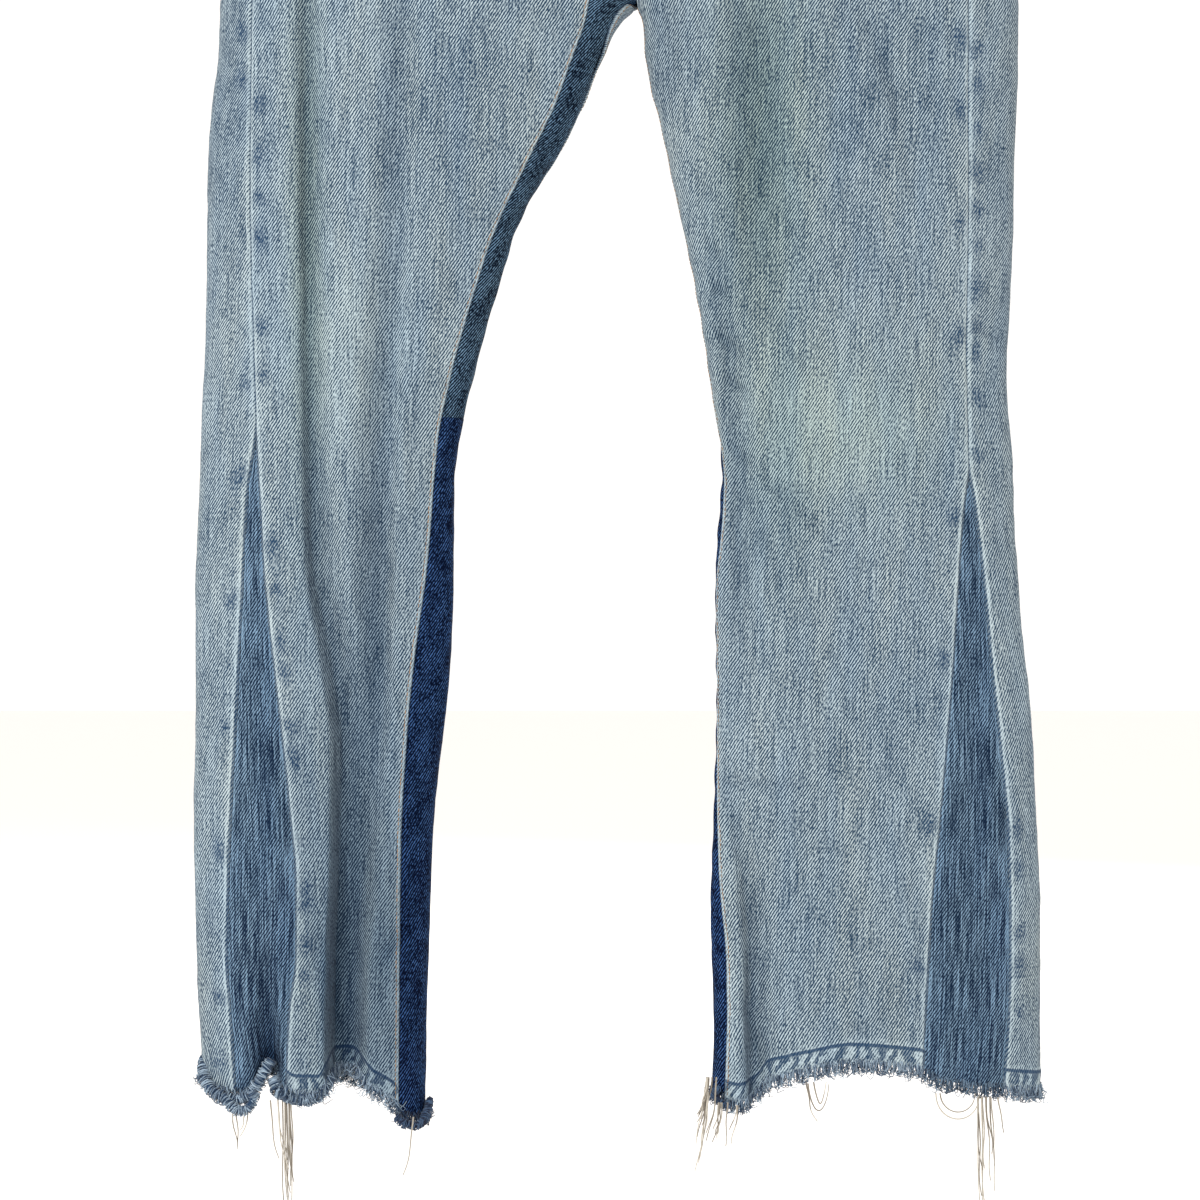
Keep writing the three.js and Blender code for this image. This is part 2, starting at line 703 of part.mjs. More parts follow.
// A thin prism along a short path
function yarnGeometry(path, width) {
  const positions = [];
  const indices = [];
  path.forEach((point, k) => {
    const size = width * (1 - 0.35 * k / (path.length - 1)) / 2;
    for (let s = 0; s < YARN_SIDES; s += 1) {
      const turn = (2 * Math.PI * s) / YARN_SIDES;
      positions.push(point.x + size * Math.cos(turn), point.y + size * Math.sin(turn), point.z);
    }
  });
  for (let k = 0; k < path.length - 1; k += 1) {
    for (let s = 0; s < YARN_SIDES; s += 1) {
      const next = (s + 1) % YARN_SIDES;
      const [a, b] = [k * YARN_SIDES + s, k * YARN_SIDES + next];
      indices.push(a, a + YARN_SIDES, b, b, a + YARN_SIDES, b + YARN_SIDES);
    }
  }
  const end = (path.length - 1) * YARN_SIDES;
  indices.push(0, 1, 2, end, end + 2, end + 1);
  return meshGeometry(positions, indices);
}

function addFringe(name, side, grids) {
  const lowest = (grid) => grid[grid.length - 1];
  const edge = [...lowest(grids.strip), ...lowest(grids.front), ...lowest(grids.godet), ...lowest(grids.back)];
  const lowered = (drop) => edge.map(({ point, normal }) => (
    { point: new THREE.Vector3(point.x, point.y, point.z - drop), normal }));
  const inside = -(WALL - FRAY_THICKNESS) / 2;
  const band = [lowered(2 * SEAM_GAP), lowered(2 * SEAM_GAP + FRAY_BAND)];
  let solid = toSolid(wallGeometry(band, inside, inside - FRAY_THICKNESS, side.out < 0));

  const random = seededShares(side.out < 0 ? 41 : 97);
  const rootAt = (position) => {
    const cell = clamp(Math.floor(position), 0, edge.length - 2);
    const point = edge[cell].point.clone().lerp(edge[cell + 1].point, position - cell);
    const normal = edge[cell].normal.clone().lerp(edge[cell + 1].normal, position - cell).normalize();
    point.addScaledVector(normal, -WALL / 2);
    point.z -= 2 * SEAM_GAP + FRAY_BAND * 0.6;
    return { point, normal };
  };
  const yarns = [];
  for (let k = 0; k < FRAY_COUNT; k += 1) {
    const position = ((k + 0.2 + 0.6 * random()) / FRAY_COUNT) * (edge.length - 1);
    const { point, normal } = rootAt(position);
    const length = 7 + 8 * random();
    const lean = 1.5 * (random() - 0.3);
    const middle = point.clone().addScaledVector(normal, lean);
    middle.z -= length * 0.5;
    const tip = point.clone().addScaledVector(normal, lean * 3);
    tip.z -= length;
    yarns.push(yarnGeometry([point, middle, tip], YARN));
  }
  for (const { x, length, lean } of LONG_THREADS[name]) {
    const nearest = edge.reduce((best, cell, k) => {
      const far = Math.abs(cell.point.x - x) + (cell.point.y > 0 ? 1000 : 0);
      return far < best.far ? { far, k } : best;
    }, { far: Infinity, k: 0 }).k;
    const { point } = rootAt(Math.min(nearest + 0.35, edge.length - 1.5));
    const steps = 4;
    const path = [];
    for (let i = 0; i <= steps; i += 1) {
      const share = i / steps;
      const sway = lean * share + 1.6 * Math.sin(share * 7 + x);
      path.push(new THREE.Vector3(point.x + sway * share, point.y - 1.5 * share, point.z - length * share));
    }
    yarns.push(yarnGeometry(path, YARN));
  }
  for (const yarn of yarns) solid = solid.add(toSolid(yarn));
  add(`fringe_${name}`, fromSolid(solid), COLOURS.fray);
}

for (const [name, side] of Object.entries(SIDES)) {
  const grids = addPanels(name, side);
  addYoke(name, side);
  addPocketFacing(name, side);
  addBackPocket(name, side, grids.back);
  addFringe(name, side, grids);
}
addWaistband();
addBeltLoops();
addButton();

export default jeans;
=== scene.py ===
"""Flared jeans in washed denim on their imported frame: the cloth, its seams, frayed hems and the photo's stage."""
import math

import bmesh
import bpy
import numpy as np
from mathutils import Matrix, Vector


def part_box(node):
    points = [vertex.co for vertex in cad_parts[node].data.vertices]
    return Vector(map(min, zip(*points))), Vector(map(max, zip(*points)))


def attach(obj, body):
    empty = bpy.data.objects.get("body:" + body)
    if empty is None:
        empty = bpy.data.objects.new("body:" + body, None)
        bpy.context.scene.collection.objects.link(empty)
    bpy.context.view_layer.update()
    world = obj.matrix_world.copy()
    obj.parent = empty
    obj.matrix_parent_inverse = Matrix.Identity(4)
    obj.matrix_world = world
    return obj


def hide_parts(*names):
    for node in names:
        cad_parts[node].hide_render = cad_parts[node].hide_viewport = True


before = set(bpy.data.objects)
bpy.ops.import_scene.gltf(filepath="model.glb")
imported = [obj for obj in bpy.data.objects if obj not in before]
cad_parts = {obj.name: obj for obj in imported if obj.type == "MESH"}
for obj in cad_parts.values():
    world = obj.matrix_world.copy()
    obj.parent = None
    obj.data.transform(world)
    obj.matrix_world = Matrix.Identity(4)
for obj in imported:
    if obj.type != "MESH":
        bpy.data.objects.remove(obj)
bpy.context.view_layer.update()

bl_info = {
    "name": "Flared Jeans",
    "version": (1, 0, 0),
    "blender": (4, 5, 0),
    "location": "3D View > Sidebar > Jeans",
    "description": "Builds flared denim jeans with godets, inseam strips and frayed hems on their packed frame",
    "category": "Add Mesh",
}

MM = 0.001
TWO_PI = 2 * math.pi


# The cut, in millimetres as in the frame

BAND_HEIGHT = 38
BAND_END_X = -16
YOKE_SIDE = 40
YOKE_CENTRE = 72
POCKET_MOUTH_WIDTH = 108
POCKET_MOUTH_DROP = 64
FACING_WIDTH = 122
FACING_DROP = 80
TOP_BLOCK_Z = -160
PANEL_TOP_Z = -BAND_HEIGHT
CROTCH_Z = -268
CROTCH_X = 7
STRIP_JOIN_Z = -569
HEM_Z = -1065
HEM_START_Z = -932
SQUARENESS = 2.3


def table(columns, rows):
    """Short table with named columns, each column an array."""
    return {name: np.array([row[i] for row in rows], float) for i, name in enumerate(columns.split())}


HIP = table("z right left share front back", [
    (0, -190, 190, 0.5, 33, 33),
    (-38, -199, 199, 0.5, 35, 36),
    (-100, -232, 229, 0.44, 38, 42),
    (-180, -271, 263, 0.255, 40, 46),
    (-235, -291, 280, 0.085, 39, 45),
    (CROTCH_Z, -297, 284.5, 0, 38, 42),
])
LEG_DEPTH = table("z front back", [
    (CROTCH_Z, 38, 42), (-350, 35, 38), (-463, 32, 35), (-600, 28, 31),
    (-700, 27, 29), (-850, 28, 29), (-960, 30, 30), (-1070, 32, 32),
])
LEG_RIGHT = table("z out in", [
    (CROTCH_Z, -297, CROTCH_X), (-277, -297.2, -3.6), (-306, -298.2, -19.7), (-336, -302, -31.8),
    (-371, -305, -48.2), (-401, -306, -67.2), (-430, -306, -81), (-463, -306.2, -91.3),
    (-525, -308, -109.5), (-569, -310.3, -119.7), (-614, -311.5, -126.3), (-698, -314.6, -127),
    (-772, -314.5, -131.4), (-848, -315.6, -140.2), (-937, -314.2, -144.2), (-1021, -310.3, -146.7),
    (-1070, -304, -147.5),
])
LEG_LEFT = table("z out in", [
    (CROTCH_Z, 284.5, CROTCH_X), (-274, 284.5, 10.8), (-281, 284.5, 12.4), (-296, 284.4, 13.1),
    (-325, 284, 17.5), (-355, 282.6, 25.6), (-396, 281.5, 34.3), (-482, 279, 52.2), (-530, 276, 60),
    (-609, 280.7, 69), (-653, 282.5, 66), (-698, 285.4, 64.2), (-784, 293.8, 65), (-873, 298.6, 62.3),
    (-923, 300.8, 60.6), (-1007, 300.6, 62.8), (-1070, 300.8, 61.3),
])
OUTSEAM_RIGHT = table("z inner outer", [
    (-38, -180, -180), (-100, -211, -211), (-180, -248, -248), (-272, -269.4, -269.4),
    (-400, -270.4, -270.4), (-517, -268, -268), (STRIP_JOIN_Z, -266, -266), (-627, -262.8, -273.5),
    (-690, -259, -276.7), (-755, -251.7, -280), (-836, -242.5, -284.2), (-905, -236.5, -287),
    (-954, -236.3, -287.8), (-995, -241, -285), (-1070, -244, -280),
])
GODET_TIP_LEFT_Z = -597
OUTSEAM_LEFT = table("z inner outer", [
    (-38, 176, 176), (-100, 199, 199), (-180, 227, 227), (-272, 242.8, 242.8), (-436, 243.5, 243.5),
    (-517, 242.8, 242.8), (GODET_TIP_LEFT_Z, 244.2, 244.2), (-641, 239.6, 251), (-700, 235.6, 257.6),
    (-755, 231.8, 262.7), (-809, 227, 268.5), (-864, 222, 273.5), (-918, 216.3, 274.9),
    (-973, 213, 274.5), (-1070, 208, 268),
])
STRIP_TIP_RIGHT_Z = -205
STRIP_RIGHT = table("z x back", [
    (STRIP_TIP_RIGHT_Z, 5.4, -10), (-250, -18.5, -13), (CROTCH_Z, -26.5, -13), (-290, -32, -9),
    (-303, -37, -4), (-348, -53.8, 4), (-384, -71.8, 7), (-436, -96.2, 10), (-478, -110.2, 12), (-535, -126.4, 14),
    (-585, -136.5, 15), (-676, -144.4, 17), (-741, -153, 18), (-791, -158, 19), (-879, -163, 21),
    (-1070, -164.5, 24),
])
STRIP_TIP_LEFT_Z = -222
STRIP_LEFT = table("z front back", [
    (STRIP_TIP_LEFT_Z, 0, 33), (CROTCH_Z, 0, 24), (-303, 0, 24), (-400, 2, 25), (-560, 1, 24),
    (-609, -5, 23), (-645, -7, 22), (-700, -4, 22), (-800, -4, 22), (-880, -9, 22), (-960, -14, 23),
    (-1070, -14, 25),
])
# Lower edge of the woven cloth, a little above the frame's, where the fringe begins
HEM_RIGHT = table("x front back", [
    (-308, -1040, -1040), (-292, -1050, -1045), (-274, -1052, -1047), (-262, -1040, -1048),
    (-254, -1033, -1049), (-246, -1046, -1050), (-238, -1051, -1051), (-222, -1052, -1053),
    (-217, -1045, -1054), (-212, -1037, -1054), (-200, -1037, -1055), (-184, -1048, -1057),
    (-167, -1060, -1062), (-163, -1069, -1069), (-143, -1074, -1074),
])
HEM_LEFT = table("x front back", [
    (60, -1056, -1056), (78, -1061, -1050), (90, -1058, -1046), (101, -1044, -1042), (123, -1036, -1036),
    (160, -1030, -1032), (205, -1033, -1035), (219, -1041, -1040), (270, -1050, -1048),
    (301, -1055, -1055),
])


def fold(*rows):
    """A fold's line down the leg: its depth, and its reach to the right leg's side and to the left leg's."""
    return table("z x depth right left", rows)


FOLDS = {
    "right": {
        "front": [
            fold((-225, -231, 0, 9, 14), (-290, -230, 7, 7, 18), (-420, -229.6, 8, 7, 19), (-560, -228, 9, 7, 21),
                 (-671, -225.5, 11, 7, 26), (-736, -213, 12, 10, 26), (-807, -205, 14, 9, 26),
                 (-893, -207, 17, 7.5, 27),
                 (-960, -210, 20, 7, 27), (-1070, -211, 22, 7, 27)),
            fold((-225, -158, 0, 22, 14), (-290, -159, 4.0, 22, 14), (-414, -163, 5.2, 24, 14),
                 (-593, -174, 8, 26, 14),
                 (-700, -175.7, 9, 26, 13), (-807, -181, 7.5, 20, 13), (-893, -186, 4, 12, 12),
                 (-960, -186, 0, 12, 12)),
            fold((-820, -190, 0, 12, 14), (-893, -192, 5, 14, 15), (-960, -195, 8, 16, 16),
                 (-1070, -196, 10, 16, 17)),
            fold((-930, -259, 0, 14, 12), (-985, -258, 6, 15, 12), (-1030, -256, 14, 16, 13),
                 (-1070, -255, 18, 16, 14)),
        ],
        "back": [
            fold((-420, -250, 0, 16, 16), (-560, -248, 5, 17, 17), (-800, -240, 8, 19, 19),
                 (-1070, -236, 10, 22, 22)),
            fold((-250, -170, 0, 16, 16), (-400, -178, 5, 17, 17), (-700, -186, 7, 17, 20), (-1070, -184, 9, 18, 20)),
        ],
    },
    "left": {
        "front": [
            fold((-430, 63, 0, 9, 14), (-480, 66.5, 4, 9, 16), (-545, 74, 6, 10, 18), (-654, 80, 6, 11, 20),
                 (-770, 81, 0, 12, 20)),
            fold((-800, 66, 0, 9, 14), (-853, 75.7, 4, 9, 16), (-902, 85, 6.5, 9, 20), (-946, 89, 9, 9, 22),
                 (-1070, 91.5, 13, 10, 22)),
            fold((-235, 92, 0, 34, 30), (-300, 91, 7, 34, 32), (-420, 92, 6, 30, 34), (-520, 95, 0, 26, 30)),
        ],
        "back": [
            fold((-360, 225, 0, 18, 18), (-560, 222, 6, 18, 20), (-800, 226, 8, 20, 22), (-1070, 232, 10, 22, 22)),
            fold((-520, 128, 0, 15, 15), (-700, 126, 6, 16, 18), (-900, 128, 8, 18, 20), (-1070, 126, 10, 18, 20)),
        ],
    },
}
# Creases across the legs: the ends of each line, its depth into the leg and its half width
CREASES = {
    "right": table("x1 z1 x2 z2 depth half", [
        (-262, -700, -240, -712, 2.0, 7), (-196, -520, -150, -560, 1.6, 12), (-150, -930, -178, -960, 2.2, 9),
        (-222, -930, -212, -1010, 2.0, 8), (-130, -470, -112, -482, 1.6, 6), (-136, -540, -122, -556, 1.6, 6),
    ]),
    "left": table("x1 z1 x2 z2 depth half", [
        (70, -832, 122, -833, 2.6, 6), (99, -614, 126, -638, 2.4, 7), (124, -636, 150, -664, 2.0, 6),
        (108, -620, 158, -630, 1.7, 6), (168, -286, 190, -345, 2.2, 8), (180, -300, 206, -420, 1.7, 9),
        (82, -985, 98, -1040, 2.2, 7), (206, -900, 212, -1010, 1.6, 9), (160, -1010, 196, -990, 1.4, 9),
        (55, -440, 68, -456, 3.4, 4.5), (60, -470, 74, -482, 3.6, 4.5), (64, -505, 80, -524, 3.8, 5),
        (72, -540, 88, -552, 3.2, 5), (74, -585, 86, -604, 2.6, 5), (52, -400, 64, -414, 2.6, 5),
        (95, -640, 110, -700, 1.4, 8),
        (120, -700, 175, -706, 1.0, 7), (252, -505, 278, -520, 2.4, 7), (250, -610, 276, -622, 1.6, 7),
    ]),
}

SIDES = {
    "right": {"out": -1, "name": "right", "leg": LEG_RIGHT, "outseam": OUTSEAM_RIGHT, "hem": HEM_RIGHT,
              "strip": STRIP_RIGHT, "strip_tip": STRIP_TIP_RIGHT_Z, "godet_tip": STRIP_JOIN_Z},
    "left": {"out": 1, "name": "left", "leg": LEG_LEFT, "outseam": OUTSEAM_LEFT, "hem": HEM_LEFT,
             "strip": STRIP_LEFT, "strip_tip": STRIP_TIP_LEFT_Z, "godet_tip": GODET_TIP_LEFT_Z},
}


# The form of the legs

def read(rows, column, at, key="z"):
    """Smooth reading of a table: the curve passes through the rows and never overshoots them."""
    order = np.argsort(rows[key])
    x, y = rows[key][order], rows[column][order]
    rise = np.diff(y) / np.diff(x)
    same_way = rise[:-1] * rise[1:] > 0
    total = np.where(same_way, rise[:-1] + rise[1:], 1.0)
    slope = np.concatenate([rise[:1], np.where(same_way, 2 * rise[:-1] * rise[1:] / total, 0.0), rise[-1:]])
    at = np.clip(at, x[0], x[-1])
    i = np.clip(np.searchsorted(x, at, side="right") - 1, 0, len(rise) - 1)
    span = x[i + 1] - x[i]
    t = (at - x[i]) / span
    return ((2 * t**3 - 3 * t**2 + 1) * y[i] + (t**3 - 2 * t**2 + t) * span * slope[i]
            + (3 * t**2 - 2 * t**3) * y[i + 1] + (t**3 - t**2) * span * slope[i + 1])


def centre_x(z):
    return CROTCH_X * np.clip(z / CROTCH_Z, 0, 1)


def power(value, exponent):
    return np.sign(value) * np.abs(value) ** exponent


def smooth(value, low, high):
    """Soft step from 0 at low to 1 at high."""
    t = np.clip((value - low) / (high - low), 0, 1)
    return t * t * (3 - 2 * t)


def section(side, z):
    """Middle, half width, front depth, back depth and cut angle of one leg, or one half of the hip."""
    z = np.asarray(z, float)
    above = z > CROTCH_Z
    outer = np.where(above, read(HIP, side["name"], z), read(side["leg"], "out", z))
    front = np.where(above, read(HIP, "front", z), read(LEG_DEPTH, "front", z))
    back = np.where(above, read(HIP, "back", z), read(LEG_DEPTH, "back", z))
    share = np.where(above, read(HIP, "share", z), 0)
    inner = np.where(above, outer + (centre_x(z) - outer) / (1 - share), read(side["leg"], "in", z))
    cut = np.arcsin(np.clip(1 - 2 * share, 0, 1) ** (SQUARENESS / 2))
    return (outer + inner) / 2, np.abs(outer - inner) / 2, front, back, cut


def angle_at_x(side, z, x):
    middle, half, *_ = section(side, z)
    return np.arcsin(power(np.clip((x - middle) * side["out"] / half, -1, 1), SQUARENESS / 2))


def angle_at_depth(side, z, depth):
    _, _, front, back, _ = section(side, z)
    reach = np.where(np.asarray(depth) < 0, front, back)
    return -math.pi / 2 - np.arcsin(power(np.clip(depth / reach, -1, 1), SQUARENESS / 2))


def strip_front(side, z):
    if side["out"] < 0:
        return angle_at_x(side, z, read(STRIP_RIGHT, "x", z))
    return angle_at_depth(side, z, read(STRIP_LEFT, "front", z))


def strip_back(side, z):
    return angle_at_depth(side, z, read(side["strip"], "back", z))


def outseam(side, z, edge):
    below = np.asarray(z) < side["godet_tip"]
    x = np.where(below, read(side["outseam"], edge, z), read(side["outseam"], "inner", z))
    return angle_at_x(side, z, x)


def front_edges(side, z):
    tip = side["strip_tip"] if side["out"] < 0 else CROTCH_Z
    start = np.where(z > tip, -section(side, z)[4], strip_front(side, z))
    return start, outseam(side, z, "inner")


def godet_edges(side, z):
    return outseam(side, z, "inner"), outseam(side, z, "outer")


def back_edges(side, z):
    tip = CROTCH_Z if side["out"] < 0 else side["strip_tip"]
    end = np.where(z > tip, math.pi + section(side, z)[4], TWO_PI + strip_back(side, z))
    return outseam(side, z, "outer"), end


def strip_edges(side, z):
    cut = section(side, z)[4]
    start, end = strip_back(side, z), strip_front(side, z)
    if side["out"] < 0:
        return np.where(z <= CROTCH_Z, start, -cut), end
    return start, np.where(z <= CROTCH_Z, end, cut - math.pi)


def fold_depth(folds, x, z):
    depth = np.zeros(np.broadcast(x, z).shape)
    for rows in folds:
        away = x - read(rows, "x", z)
        offset = np.abs(away) / np.where(away < 0, read(rows, "right", z), read(rows, "left", z))
        inside = (z < rows["z"].max()) & (offset < 1)
        depth += np.where(inside, read(rows, "depth", z) * (0.5 + 0.5 * np.cos(math.pi * offset)), 0)
    return depth


def crease_depth(side, x, z):
    rows = CREASES[side["name"]]
    depth = np.zeros(np.broadcast(x, z).shape)
    for x1, z1, x2, z2, deep, half in zip(*(rows[key] for key in "x1 z1 x2 z2 depth half".split())):
        along = np.array([x2 - x1, z2 - z1])
        length = np.hypot(*along)
        t = ((x - x1) * along[0] + (z - z1) * along[1]) / length**2
        away = np.hypot(x - x1 - np.clip(t, 0, 1) * along[0], z - z1 - np.clip(t, 0, 1) * along[1])
        depth += deep * np.exp(-(away / half) ** 2 * 2.2) * (0.55 + 0.45 * np.cos(math.pi * (np.clip(t, 0, 1) - 0.4)))
    return depth


def ripple(x, z, seed, size, rough=0.55):
    """Smooth unevenness between about -1 and 1: a few waves of seeded direction, sized in millimetres."""
    random = np.random.default_rng(seed)
    total, weight = np.zeros(np.broadcast(x, z).shape), 0
    for octave in range(3):
        for _ in range(4):
            turn, phase = random.uniform(0, TWO_PI, 2)
            wave = size / (1.9**octave) * random.uniform(0.8, 1.3)
            bend = 0.9 * np.sin((x * math.sin(turn) - z * math.cos(turn)) * TWO_PI / (wave * 2.7) + phase * 3)
            total += rough**octave * np.sin((x * math.cos(turn) + z * math.sin(turn)) * TWO_PI / wave + phase + bend)
            weight += rough**octave
    return total / weight * 1.8


def cloth_point(side, z, angle):
    """Points of the cloth's outer face, before its seams and small creases."""
    middle, half, front, back, _ = section(side, z)
    bend = 2 / SQUARENESS
    x = middle + side["out"] * half * power(np.sin(angle), bend)
    facing = power(np.cos(angle), bend)
    y = -facing * np.where(facing > 0, front, back)
    pressed = np.minimum(1, 1.6 * np.abs(facing)) * np.sign(facing)
    folds = FOLDS[side["name"]]
    depth = np.where(facing > 0, fold_depth(folds["front"], x, z) + crease_depth(side, x, z),
                     fold_depth(folds["back"], x, z))
    return np.stack(np.broadcast_arrays(x, y + pressed * depth, z), axis=-1)


# Grids of cloth

EDGE_STEPS = np.array([0, 0.5, 1.1, 1.9, 3.0, 4.6, 6.6, 9.0, 12.0, 16.0])


def distances(total, columns, under, level):
    """Distances across a piece in one row, fine near both edges and reaching past them by under."""
    squeeze = min(1, total / (3 * EDGE_STEPS[-1]))
    near = EDGE_STEPS * squeeze
    middle = np.linspace(near[-1], total - near[-1], columns)
    first, last = (reach(level) if callable(reach) else reach for reach in under)
    return np.concatenate([[-first, -0.4 * first], near[:-1], middle, total - near[-2::-1],
                           [total + 0.4 * last, total + last]])


def angles_across(side, levels, edges, spacing):
    """Angles at each level, and the distances from both edges that they lie at."""
    start, end = (edge[:, None] for edge in edges(side, levels))
    margin = 0.22 * np.linspace(1, 0.02, 16)
    angles = np.concatenate([start - margin, start + (end - start) * np.linspace(0, 1, 120), end + margin[::-1]],
                            axis=1)
    points = cloth_point(side, levels[:, None], angles)
    steps = np.linalg.norm(np.diff(points, axis=1), axis=2)
    length = np.concatenate([np.zeros((len(levels), 1)), np.cumsum(steps, axis=1)], axis=1)
    found, left, right = [], [], []
    for row, (first, last) in enumerate(zip(start[:, 0], end[:, 0])):
        zero = np.interp(first, angles[row], length[row])
        total = max(np.interp(last, angles[row], length[row]) - zero, 0)
        wanted = spacing(total, levels[row])
        found.append(np.interp(wanted + zero, length[row], angles[row]))
        left.append(wanted)
        right.append(total - wanted)
    return np.array(found), np.array(left), np.array(right)


def hem_level(side, point, angle):
    """Lower edge of the cloth at a place on the leg, eased from the front's line to the back's."""
    behind = smooth(-np.cos(angle), -0.3, 0.3)
    front = read(side["hem"], "front", point[..., 0], "x")
    return front + (read(side["hem"], "back", point[..., 0], "x") - front) * behind


def front_top(side):
    """Upper edge of a front panel: the pocket mouth is scooped out of its outer corner."""
    level = np.array([-70.0])
    start, end = (cloth_point(side, level, edge)[0] for edge in front_edges(side, level))
    width = np.linalg.norm(start - end)

    def top(share):
        from_seam = (1 - share) * width / POCKET_MOUTH_WIDTH
        return PANEL_TOP_Z - POCKET_MOUTH_DROP * np.sqrt(np.clip(1 - np.abs(from_seam) ** 2.2, 0, 1))
    return top


def yoke_line(share):
    share = np.clip(share, 0, 1)
    return -BAND_HEIGHT - (YOKE_SIDE + (YOKE_CENTRE - YOKE_SIDE) * share**1.3)


LEVELS = np.concatenate([
    np.arange(PANEL_TOP_Z + 2, -60, -2.5), np.arange(-60, HEM_START_Z, -4.2),
    np.arange(HEM_START_Z, -1035, -3.6), np.linspace(-1036, HEM_Z, 19)])


def across(columns, under):
    """Spacing of a whole cut piece: fine at its edges, and reaching past them by under."""
    return lambda total, level: distances(total, columns, under, level)


def from_top(top, highest=LEVELS[0]):
    """Placing of a piece whose upper edge has its own line."""
    def place(z, share):
        part = (z - TOP_BLOCK_Z) / (highest - TOP_BLOCK_Z)
        return np.where(z > TOP_BLOCK_Z, TOP_BLOCK_Z + (top(share) - TOP_BLOCK_Z) * part, z)
    return place


def panel(side, edges, levels, spacing, place=lambda z, share: z):
    """Grid of one cut piece: its points and the distances from its edges, in millimetres."""
    fine = np.arange(min(-34.0, levels.max() + 3), max(HEM_Z - 12, levels.min() - 60), -3.0)
    angles, left, right = angles_across(side, fine, edges, spacing)
    share = left / np.maximum(left + right, 1e-6)

    def at(values, z):
        """Values of the fine rows at the levels of a grid, column by column."""
        return np.stack([np.interp(-z[:, j], -fine, values[:, j]) for j in range(values.shape[1])], axis=1)

    z = np.repeat(levels[:, None], angles.shape[1], axis=1)
    z = place(z, at(share, z))
    angle = at(angles, z)
    hem = hem_level(side, cloth_point(side, z, angle), angle)
    z = np.where(z < HEM_START_Z, HEM_START_Z + (z - HEM_START_Z) * (hem - HEM_START_Z) / (HEM_Z - HEM_START_Z), z)
    angle = at(angles, z)
    points = cloth_point(side, z, angle)
    step = np.linalg.norm(np.diff(points, axis=0), axis=2)
    down = np.concatenate([np.zeros((1, z.shape[1])), np.cumsum(step, axis=0)], axis=0)
    grid = {"side": side, "points": points, "left": at(left, z), "right": at(right, z), "down": down,
            "up": down[-1] - down, "z": z, "flip": side["out"] < 0}
    grid["normals"] = normals_of(grid)
    return grid


def normals_of(grid):
    """Outward normals from the slopes of a grid."""
    across = np.gradient(grid["points"], axis=1)
    upwards = -np.gradient(grid["points"], axis=0)
    normal = np.cross(across, upwards) * (-1 if grid["flip"] else 1)
    return normal / np.maximum(np.linalg.norm(normal, axis=2, keepdims=True), 1e-9)


def raised(grid, amount):
    """The grid's points moved out of the cloth by an amount in millimetres."""
    return grid["points"] + grid["normals"] * np.asarray(amount)[..., None]


def line_down(grid, distance, edge="left", rows=slice(None), lift=0.3):
    """Line along a piece at a distance from its side edge."""
    outer = raised(grid, grid["relief"] + lift)[rows]
    measure = grid[edge][rows]
    wanted = np.broadcast_to(distance, len(outer))
    line = []
    for row in range(len(outer)):
        order = np.argsort(measure[row])
        line.append([np.interp(wanted[row], measure[row][order], outer[row, order, k]) for k in range(3)])
    return np.array(line)


def line_across(grid, distance, edge="up", columns=slice(None), lift=0.3):
    """Line across a piece at a distance from its upper or lower edge."""
    outer = raised(grid, grid["relief"] + lift)[:, columns]
    measure = grid[edge][:, columns]
    line = []
    for column in range(outer.shape[1]):
        order = np.argsort(measure[:, column])
        line.append([np.interp(distance, measure[order, column], outer[order, column, k]) for k in range(3)])
    return np.array(line)


# Seams, wear, painted shade and the cloth's relief

# Dark spots where the outseam's allowance kept its dye: heights down the leg, before and behind the seam
SEAM_SPOTS = {
    "right": {"front": [-345, -384, -414, -441.5, -503.6, -539, -661, -693, -732, -752, -790, -812, -905, -917,
                        -946, -968],
              "back": [-293, -328, -546, -612, -700, -790, -880, -985]},
    "left": {"front": [-300, -352, -431, -512, -640, -741, -860, -962],
             "back": [-307, -332, -364, -394, -420, -446, -477, -504, -523, -554, -596, -864, -893, -939, -964,
                      -996]},
}
# Soft patches: place, size, how much paler and how much greyer-green they are, the green partly painted shade along
# valleys, and how much painted shade they carry
PATCHES = {
    "right": table("x z wide tall pale green shade", [
        (-202, -521, 46, 70, 0.50, 0.15, 0), (-240, -380, 26, 170, 0.06, 0, 0), (-180, -380, 30, 120, 0.08, 0, 0),
        (-130, -350, 46, 110, -0.22, 0, 0), (-285, -340, 26, 150, -0.24, 0, 0.05),
        (-200, -950, 30, 150, 0, 0.12, 0.44), (-172, -960, 16, 120, 0, 0, 0.48), (-180, -730, 26, 120, 0, 0, 0.24),
        (-232, -890, 20, 150, 0, 0, 0.14), (-257, -1040, 9, 32, 0, 0, 0.9),
        (-150, -640, 12, 120, 0, 0, 0.14), (-160, -150, 90, 110, 0.12, 0, 0), (-60, -120, 60, 90, -0.06, 0, 0),
        (-229, -430, 11, 190, 0, 0.8, 0.08),
    ]),
    "left": table("x z wide tall pale green shade", [
        (166, -578, 60, 58, 0.50, 0.5, 0), (96, -370, 34, 140, 0, 0.9, 0.03), (170, -330, 70, 110, -0.2, 0, 0),
        (200, -720, 60, 120, -0.1, 0, 0), (150, -900, 60, 90, -0.12, 0, 0),
        (150, -830, 70, 130, 0.03, 0, 0), (110, -600, 30, 90, -0.02, 0.35, 0.04), (160, -150, 90, 110, 0.12, 0, 0),
        (75, -960, 14, 110, 0.1, 0, 0), (60, -120, 60, 90, -0.06, 0, 0), (30, -300, 14, 40, 0, 0, 0.3),
    ]),
}


